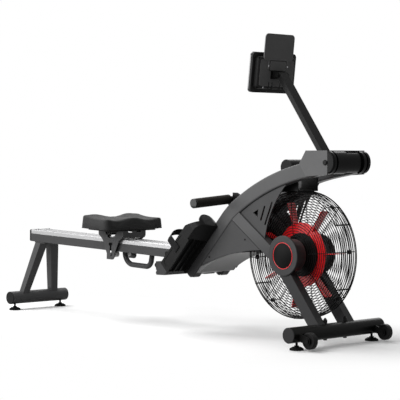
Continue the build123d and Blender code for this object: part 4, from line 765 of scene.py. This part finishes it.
def seatSurface():
    # Rings: out under the cushion, down and round its lip, up the leaning wall, round the edge, in over the saddle
    swell = seatLook["swell"] * mm
    flare, edge = seatLook["flare"] * mm, seatLook["edge"] * mm
    inner, foot = seatLook["lipThick"] * mm, swell - seatLook["lip"] * mm
    bend = seatLook["lipRound"] * mm

    def level(height):
        return lambda top: top * 0 + height

    under = np.linspace(0, 1, seatLook["underRows"])
    wall = np.linspace(seatLook["wallFrom"], 1, seatLook["wallRows"])
    edgeTurns = np.linspace(seatLook["edgeFrom"], 1, seatLook["edgeRows"]) * np.pi / 2
    saddle = np.linspace(seatLook["topFrom"], 0, seatLook["topRows"])
    lip = ((inner, (swell + foot) / 2), (inner, foot + bend), (inner - bend, foot), (bend, foot))
    rows = [seatRing(inner + seatLook["under"] * mm, level(swell), shrink) for shrink in under]
    rows += [seatRing(inset, level(height)) for inset, height in lip]
    for share in wall:
        rows.append(seatRing(flare * share, lambda top: foot + (top - edge - foot) * share))
    for turn in edgeTurns:
        rows.append(seatRing(flare + edge * (1 - np.cos(turn)), lambda top: top - edge * (1 - np.sin(turn))))
    for shrink in saddle:
        rows.append(seatRing(flare + edge, lambda top: top, shrink))
    return np.stack(rows)


def puff(piece):
    # Even voxels, then a short cloth run under light pressure, with each point's move held to the swell
    remesh = piece.modifiers.new("voxels", "REMESH")
    remesh.mode = "VOXEL"
    remesh.voxel_size = seatLook["voxel"] * mm
    bpy.context.view_layer.objects.active = piece
    piece.select_set(True)
    bpy.ops.object.modifier_apply(modifier=remesh.name)
    count = len(piece.data.vertices)
    before = np.empty(count * 3, np.float32)
    piece.data.vertices.foreach_get("co", before)
    before = before.reshape(-1, 3)
    cloth = piece.modifiers.new("skin", "CLOTH")
    cloth.settings.use_pressure = True
    cloth.settings.uniform_pressure_force = seatLook["pressure"]
    cloth.settings.effector_weights.gravity = 0
    cloth.settings.quality = seatLook["quality"]
    scene = bpy.context.scene
    for step in range(1, seatLook["frames"] + 1):
        scene.frame_set(step)
    shaped = piece.evaluated_get(bpy.context.evaluated_depsgraph_get())
    after = np.empty(count * 3, np.float32)
    shaped.data.vertices.foreach_get("co", after)
    move = after.reshape(-1, 3) - before
    size = np.linalg.norm(move, axis=1, keepdims=True)
    cap = seatLook["swell"] * mm
    move *= np.minimum(1, cap / np.maximum(size, 1e-9))
    piece.modifiers.remove(cloth)
    piece.data.vertices.foreach_set("co", (before + move).astype(np.float32).ravel())
    piece.data.update()
    scene.frame_set(1)
    return before, move


def seatBead(before, move):
    # Round bead along the lower seam: the outline's ring, moved as the skin nearest to it moved
    path = seatRing(seatLook["beadIn"] * mm, lambda top: top * 0 + seatLook["beadUp"] * mm)
    if len(before):
        near = np.array([np.argmin(((before - point) ** 2).sum(1)) for point in path])
        shift = move[near]
        steps = range(-seatLook["beadEven"], seatLook["beadEven"] + 1)
        path = path + sum(np.roll(shift, step, axis=0) for step in steps) / len(steps)
    off = seatFrame()[3]
    ahead = np.roll(path, -1, axis=0) - np.roll(path, 1, axis=0)
    ahead /= np.linalg.norm(ahead, axis=1, keepdims=True)
    side = np.cross(ahead, off)
    angle = turnAngles(seatLook["beadSides"])[None, :, None]
    ring = side[:, None, :] * np.cos(angle) + off[None, None, :] * np.sin(angle)
    grid = path[:, None, :] + seatLook["bead"] * mm * ring
    piece = surface("seat_bead", [grid], [(True, True)], finishes["seat_vinyl"], "seat")


def seatCushion():
    piece = surface("seat_pad", [seatSurface()], [(False, True)], finishes["seat_vinyl"], None)
    before, move = puff(piece)
    seatBead(before, move)
    relax = piece.modifiers.new("relax", "SMOOTH")
    relax.factor = seatLook["relax"]
    relax.iterations = seatLook["relaxTimes"]
    fine = piece.modifiers.new("fine", "SUBSURF")
    fine.levels = seatLook["fine"]
    fine.render_levels = seatLook["fine"]
    piece.data.polygons.foreach_set("use_smooth", np.ones(len(piece.data.polygons), bool))
    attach(piece, "seat")
    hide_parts("seat_cushion")


seatCushion()
print("seat cushion")


# Straps

webLook = {"edge": 0.35, "edgeLift": 0.45}


def ribbon(path, wide, thick, acrossAxis):
    # Flat section with rounded edges carried along one path (steps, 3), closed at both ends
    path = np.asarray(path, float)
    along = np.gradient(path, axis=0)
    along /= np.linalg.norm(along, axis=1, keepdims=True)
    across = np.asarray(acrossAxis, float)
    normal = np.cross(along, across)
    edge, edgeLift = webLook["edge"] * thick / wide, webLook["edgeLift"]
    share = np.array([-1, -1 + edge, -0.5, 0, 0.5, 1 - edge, 1])
    lift = np.array([edgeLift, 1, 1, 1, 1, 1, edgeLift])
    sideShare = np.concatenate([share, share[::-1]])
    sideLift = np.concatenate([lift, -lift[::-1]])
    offset = across * (sideShare * wide / 2)[:, None]
    body = path[:, None, :] + offset[None] + normal[:, None, :] * (sideLift * thick / 2)[None, :, None]
    first = np.broadcast_to(path[:1, None, :], (1, len(sideShare), 3))
    last = np.broadcast_to(path[-1:, None, :], (1, len(sideShare), 3))
    grid = np.concatenate([first, body, last])
    run = np.concatenate([[0], np.cumsum(np.linalg.norm(np.diff(path, axis=0), axis=1))])
    run = np.concatenate([run[:1], run, run[-1:]])
    uv = np.stack(np.broadcast_arrays(run[:, None], sideShare[None, :] * wide / 2), -1)
    return grid, uv


pullLook = {"steps": 24, "bendSteps": 14, "fallSteps": 10, "thick": 2.0, "shown": 0.9, "start": 0.5}


def pullStrap():
    # Centre line: level from the handle's yoke, a quarter turn over the guide roller, down, a quarter round the drum
    low, high = nodeBox("pull_strap")
    rollerLow, rollerHigh = nodeBox("guide_roller")
    roller = (rollerLow + rollerHigh) / 2
    thick = pullLook["thick"] * mm
    topZ = high[2] - thick / 2
    downX = high[0] - thick / 2
    bend = topZ - roller[2]
    steps, fallSteps = pullLook["steps"], pullLook["fallSteps"]
    start = low[0] + pullLook["start"] * mm
    level = np.stack([np.linspace(start, roller[0], steps), np.zeros(steps), np.full(steps, topZ)], 1)
    quarter = np.linspace(0, np.pi / 2, pullLook["bendSteps"])
    angle = quarter[1:]
    over = np.stack([roller[0] + bend * np.sin(angle), 0 * angle, roller[2] + bend * np.cos(angle)], 1)
    drum = np.array(joints["drum_turn"]["pos_m"], float)
    down = np.linspace(roller[2], drum[2], fallSteps + 2)[1:-1]
    fall = np.stack([np.full(fallSteps, downX), np.zeros(fallSteps), down], 1)
    wrap = downX - drum[0]
    around = np.stack([drum[0] + wrap * np.cos(quarter), 0 * quarter, drum[2] - wrap * np.sin(quarter)], 1)
    path = np.concatenate([level, over, fall, around])
    grid, uv = ribbon(path, high[1] - low[1], thick * pullLook["shown"], (0, 1, 0))
    piece = surface("pull_webbing", [grid], [(False, True)], finishes["strap_web"], None, uv)
    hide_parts("pull_strap")
    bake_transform(piece)


pullStrap()

footLook = {"steps": 40, "legSteps": 12, "thick": 2.6, "pitch": 46.5, "arch": 36.0}


def footStraps():
    # Each band: up from the outer wall, an arc over the foot, down to the inner wall, in a plane square to the plate
    pitch = math.radians(footLook["pitch"])
    up = np.array([-math.sin(pitch), 0, math.cos(pitch)])
    along = np.array([math.cos(pitch), 0, math.sin(pitch)])
    points = nodePoints("foot_straps")
    run = points @ along
    rise = points @ up
    wide = run.max() - run.min()
    middle = (run.max() + run.min()) / 2
    thick = footLook["thick"] * mm
    grids = []
    maps = []
    for side in (-1, 1):
        mine = points[:, 1] * side > 0
        sideY = np.abs(points[mine, 1])
        nearY, farY = sideY.min() + thick / 2, sideY.max() - thick / 2
        bottom, top = rise.min(), rise.max() - thick / 2
        centreY, halfY = (nearY + farY) / 2, (farY - nearY) / 2
        share = np.linspace(-1, 1, footLook["steps"])
        arch = footLook["arch"] * mm
        shoulder = top - arch
        radius = (halfY ** 2 + arch ** 2) / (2 * arch)
        reach = math.asin(halfY / radius)
        y = radius * np.sin(share * reach)
        z = top - radius + radius * np.cos(share * reach)
        rising = np.linspace(bottom, shoulder, footLook["legSteps"])[:-1]
        y = np.concatenate([0 * rising - halfY, y, 0 * rising + halfY])
        z = np.concatenate([rising, z, rising[::-1]])
        path = along * middle + up * z[:, None] + np.array([0, 1.0, 0]) * (side * (centreY + y))[:, None]
        grid, uv = ribbon(path, wide, thick, along)
        grids.append(grid)
        maps.append(uv.reshape(-1, 2))
    piece = surface("foot_webbing", grids, [(False, True)] * 2, finishes["strap_web"], "frame", np.concatenate(maps))
    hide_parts("foot_straps")


footStraps()
print("straps")


# Small pieces on the monitor

consoleLook = {
    "tilt": 7.0, "flat": 0.5, "inset": 6.0, "sheet": 0.5, "power": 0.12,
    "padAt": 36.0, "pad": (1.1, 48.0, 20.0), "gapShade": (0.5, 51.0, 23.0),
    "screwAt": ((-57.0, 34.0), (57.0, 34.0)), "lowScrewAt": ((-76.0, -58.0), (76.0, -58.0)),
    "screw": (1.5, 3.4, 3.4), "screwPower": 0.7, "ribAt": (-44.0, -24.0, 24.0, 44.0), "ribUp": -50.0,
    "rib": (1.3, 1.6, 17.0), "ribPower": 0.4, "displayAt": (-70.4, 0.0, 26.0), "display": (0.8, 84.0, 43.0),
}
lcdGlass = {"colour": (0.10, 0.115, 0.10), "rough": 0.16}


def consolePieces():
    # Blocks with round edges on the tilted monitor's axes: back panel, pad with a black sheet round it as painted
    # shade in its gap, screws, ribs and display
    pivot = np.array(joints["console_tilt"]["pos_m"], float)
    tilt = math.radians(consoleLook["tilt"])
    axes = np.array([(math.cos(tilt), 0, -math.sin(tilt)), (0, 1, 0), (math.sin(tilt), 0, math.cos(tilt))])

    def block(at, half, power=consoleLook["power"]):
        return roundBlock(pivot + np.asarray(at) * mm @ axes, axes, np.asarray(half) * mm, power)

    def add(name, blocks, finish):
        piece = surface(name, [np.stack(blocks)], [(False, True)], finish, "console")

    back = (nodePoints("console_back") - pivot) @ axes.T / mm
    flat = back[back[:, 0] > back[:, 0].max() - consoleLook["flat"]]
    face = flat[:, 0].max()
    low, high = flat[:, 1:].min(0), flat[:, 1:].max(0)
    middle, reach = (low + high) / 2, (high - low) / 2 - consoleLook["inset"]
    shelf = ((nodePoints("device_plate") - pivot) @ axes.T / mm)[:, 0].max()
    pad, screw = consoleLook["padAt"], consoleLook["screw"]
    sheets = [block((face, *middle), (consoleLook["sheet"], *reach))]
    sheets.append(block((shelf, 0, pad), consoleLook["pad"]))
    add("console_panel", sheets, plate)
    rib, ribUp, ribPower = (consoleLook[name] for name in ("rib", "ribUp", "ribPower"))
    # Painted shade: a black sheet a little larger than the pad, standing for the shade in the gap round it
    ribsAndGapShade = [block((shelf, 0, pad), consoleLook["gapShade"])]
    ribsAndGapShade += [block((face, y, ribUp), rib, ribPower) for y in consoleLook["ribAt"]]
    add("console_ribs_gap_shade", ribsAndGapShade, finishes["black_plastic"])
    screws = [block((shelf, *at), screw, consoleLook["screwPower"]) for at in consoleLook["screwAt"]]
    screws += [block((face, *at), screw, consoleLook["screwPower"]) for at in consoleLook["lowScrewAt"]]
    add("console_screws", screws, finishes["steel"])
    glass = [block(consoleLook["displayAt"], consoleLook["display"])]
    add("console_display", glass, glossFront("lcdGlass", lcdGlass))


consolePieces()
print("monitor pieces")


# Studio

stageLook = {
    "floorHalf": 30.0, "floorDrop": 0.0005, "floorColour": (0.94, 0.94, 0.94), "bounce": (0.25, 0.25, 0.25),
    "sky": 0.10,
    "nearGlow": 0.12, "glowFrom": 0.30, "glowTo": 0.85, "footHalf": 0.85,
    "keyPower": 235.0, "keySize": 3.4, "keyAt": (0.1, -4.7, 3.1), "keyAim": (0.2, 0.0, 0.5),
    "sidePower": 60.0, "sideSize": 1.7, "sideAt": (-2.2, -3.1, 1.35), "sideAim": (0.5, 0.0, 0.85),
    "topPower": 190.0, "topSize": 3.4, "topAt": (-2.4, -0.4, 4.4), "topAim": (0.1, 0.0, 0.2),
    "rimPower": 45.0, "rimSize": 2.4, "rimAt": (-1.6, 3.8, 2.6), "rimAim": (0.2, 0.0, 0.5),
}


def lightPaths(tree):
    # 1 for rays that show the background: from the camera, in a gloss or through glass
    node = tree.nodes.new("ShaderNodeLightPath")
    seen = [Wire(tree, node.outputs[name]) for name in ("Is Camera Ray", "Is Glossy Ray", "Is Transmission Ray")]
    return (seen[0] + seen[1] + seen[2]).clamped()


def studioFloor():
    half = stageLook["floorHalf"]
    corner = np.array([-half, half])
    x, y = np.meshgrid(corner, corner, indexing="ij")
    floor = surface("floor", [np.stack([x, y, 0 * x - stageLook["floorDrop"]], -1)], [(False, False)], None, None)
    paint = Finish("floorPaint", {"Roughness": 0.9, "Specular IOR Level": 0.0})
    # Darker where it only throws light back at the object
    back = paint.node("ShaderNodeLightPath", out="Is Diffuse Ray")
    paint.put("Base Color", paint.mix(back, stageLook["floorColour"], stageLook["bounce"]))
    tree = paint.tree
    glow = tree.nodes.new("ShaderNodeEmission")
    blend = tree.nodes.new("ShaderNodeMixShader")
    # Distance from the line under the machine: root of (past its ends squared + beside it squared)
    beyond = abs(paint.axis(0)) - stageLook["footHalf"]
    past = beyond.calc("MAXIMUM", beyond, 0.0)
    beside = paint.axis(1)
    away = (past * past + beside * beside) ** 0.5
    near = stageLook["nearGlow"]
    share = lightPaths(tree) * (near + (1 - near) * paint.ramp(away, stageLook["glowFrom"], stageLook["glowTo"]))
    feed(tree, share, blend.inputs[0])
    tree.links.new(paint.shader.outputs[0], blend.inputs[1])
    tree.links.new(glow.outputs[0], blend.inputs[2])
    tree.links.new(blend.outputs[0], tree.nodes["Material Output"].inputs[0])
    floor.data.materials[0] = paint.material


def skyLight():
    # Plain white dome: full where it is seen, dim where it only lights
    world = bpy.data.worlds.new("studio")
    bpy.context.scene.world = world
    world.use_nodes = True
    tree = world.node_tree
    dome = tree.nodes["Background"]
    dome.inputs[0].default_value = (1, 1, 1, 1)
    seen = lightPaths(tree)
    feed(tree, stageLook["sky"] + seen * (1 - stageLook["sky"]), dome.inputs[1])


def softBox(name, power, size, at, aim):
    # Square lamp turned to its aim: tilted up from straight down, then swung to the heading
    light = bpy.data.lights.new(name, "AREA")
    light.energy = power
    light.shape = "SQUARE"
    light.size = size
    lamp = bpy.data.objects.new(name, light)
    bpy.context.scene.collection.objects.link(lamp)
    lamp.location = at
    x, y, z = (goal - start for goal, start in zip(aim, at))
    lamp.rotation_euler = (math.atan2(math.hypot(x, y), -z), 0, math.atan2(-x, y))


cameraLook = {
    "at": (5.1056, -4.5522, 0.7823), "tilt": -1.70, "heading": 47.33, "lens": 133.34, "sensor": 36.0, "far": 200,
}


def photoCamera():
    # Fitted to the photograph
    camera = bpy.data.cameras.new("camera")
    camera.lens = cameraLook["lens"]
    camera.sensor_width = cameraLook["sensor"]
    camera.clip_end = cameraLook["far"]
    holder = bpy.data.objects.new("camera", camera)
    bpy.context.scene.collection.objects.link(holder)
    holder.location = cameraLook["at"]
    holder.rotation_euler = (math.radians(90 + cameraLook["tilt"]), 0, math.radians(cameraLook["heading"]))
    bpy.context.scene.camera = holder


studioFloor()
skyLight()
for lamp in ("key", "side", "top", "rim"):
    softBox(lamp + "Light", *(stageLook[lamp + part] for part in ("Power", "Size", "At", "Aim")))
photoCamera()
bpy.context.scene.view_settings.view_transform = "Standard"
print("studio ready")
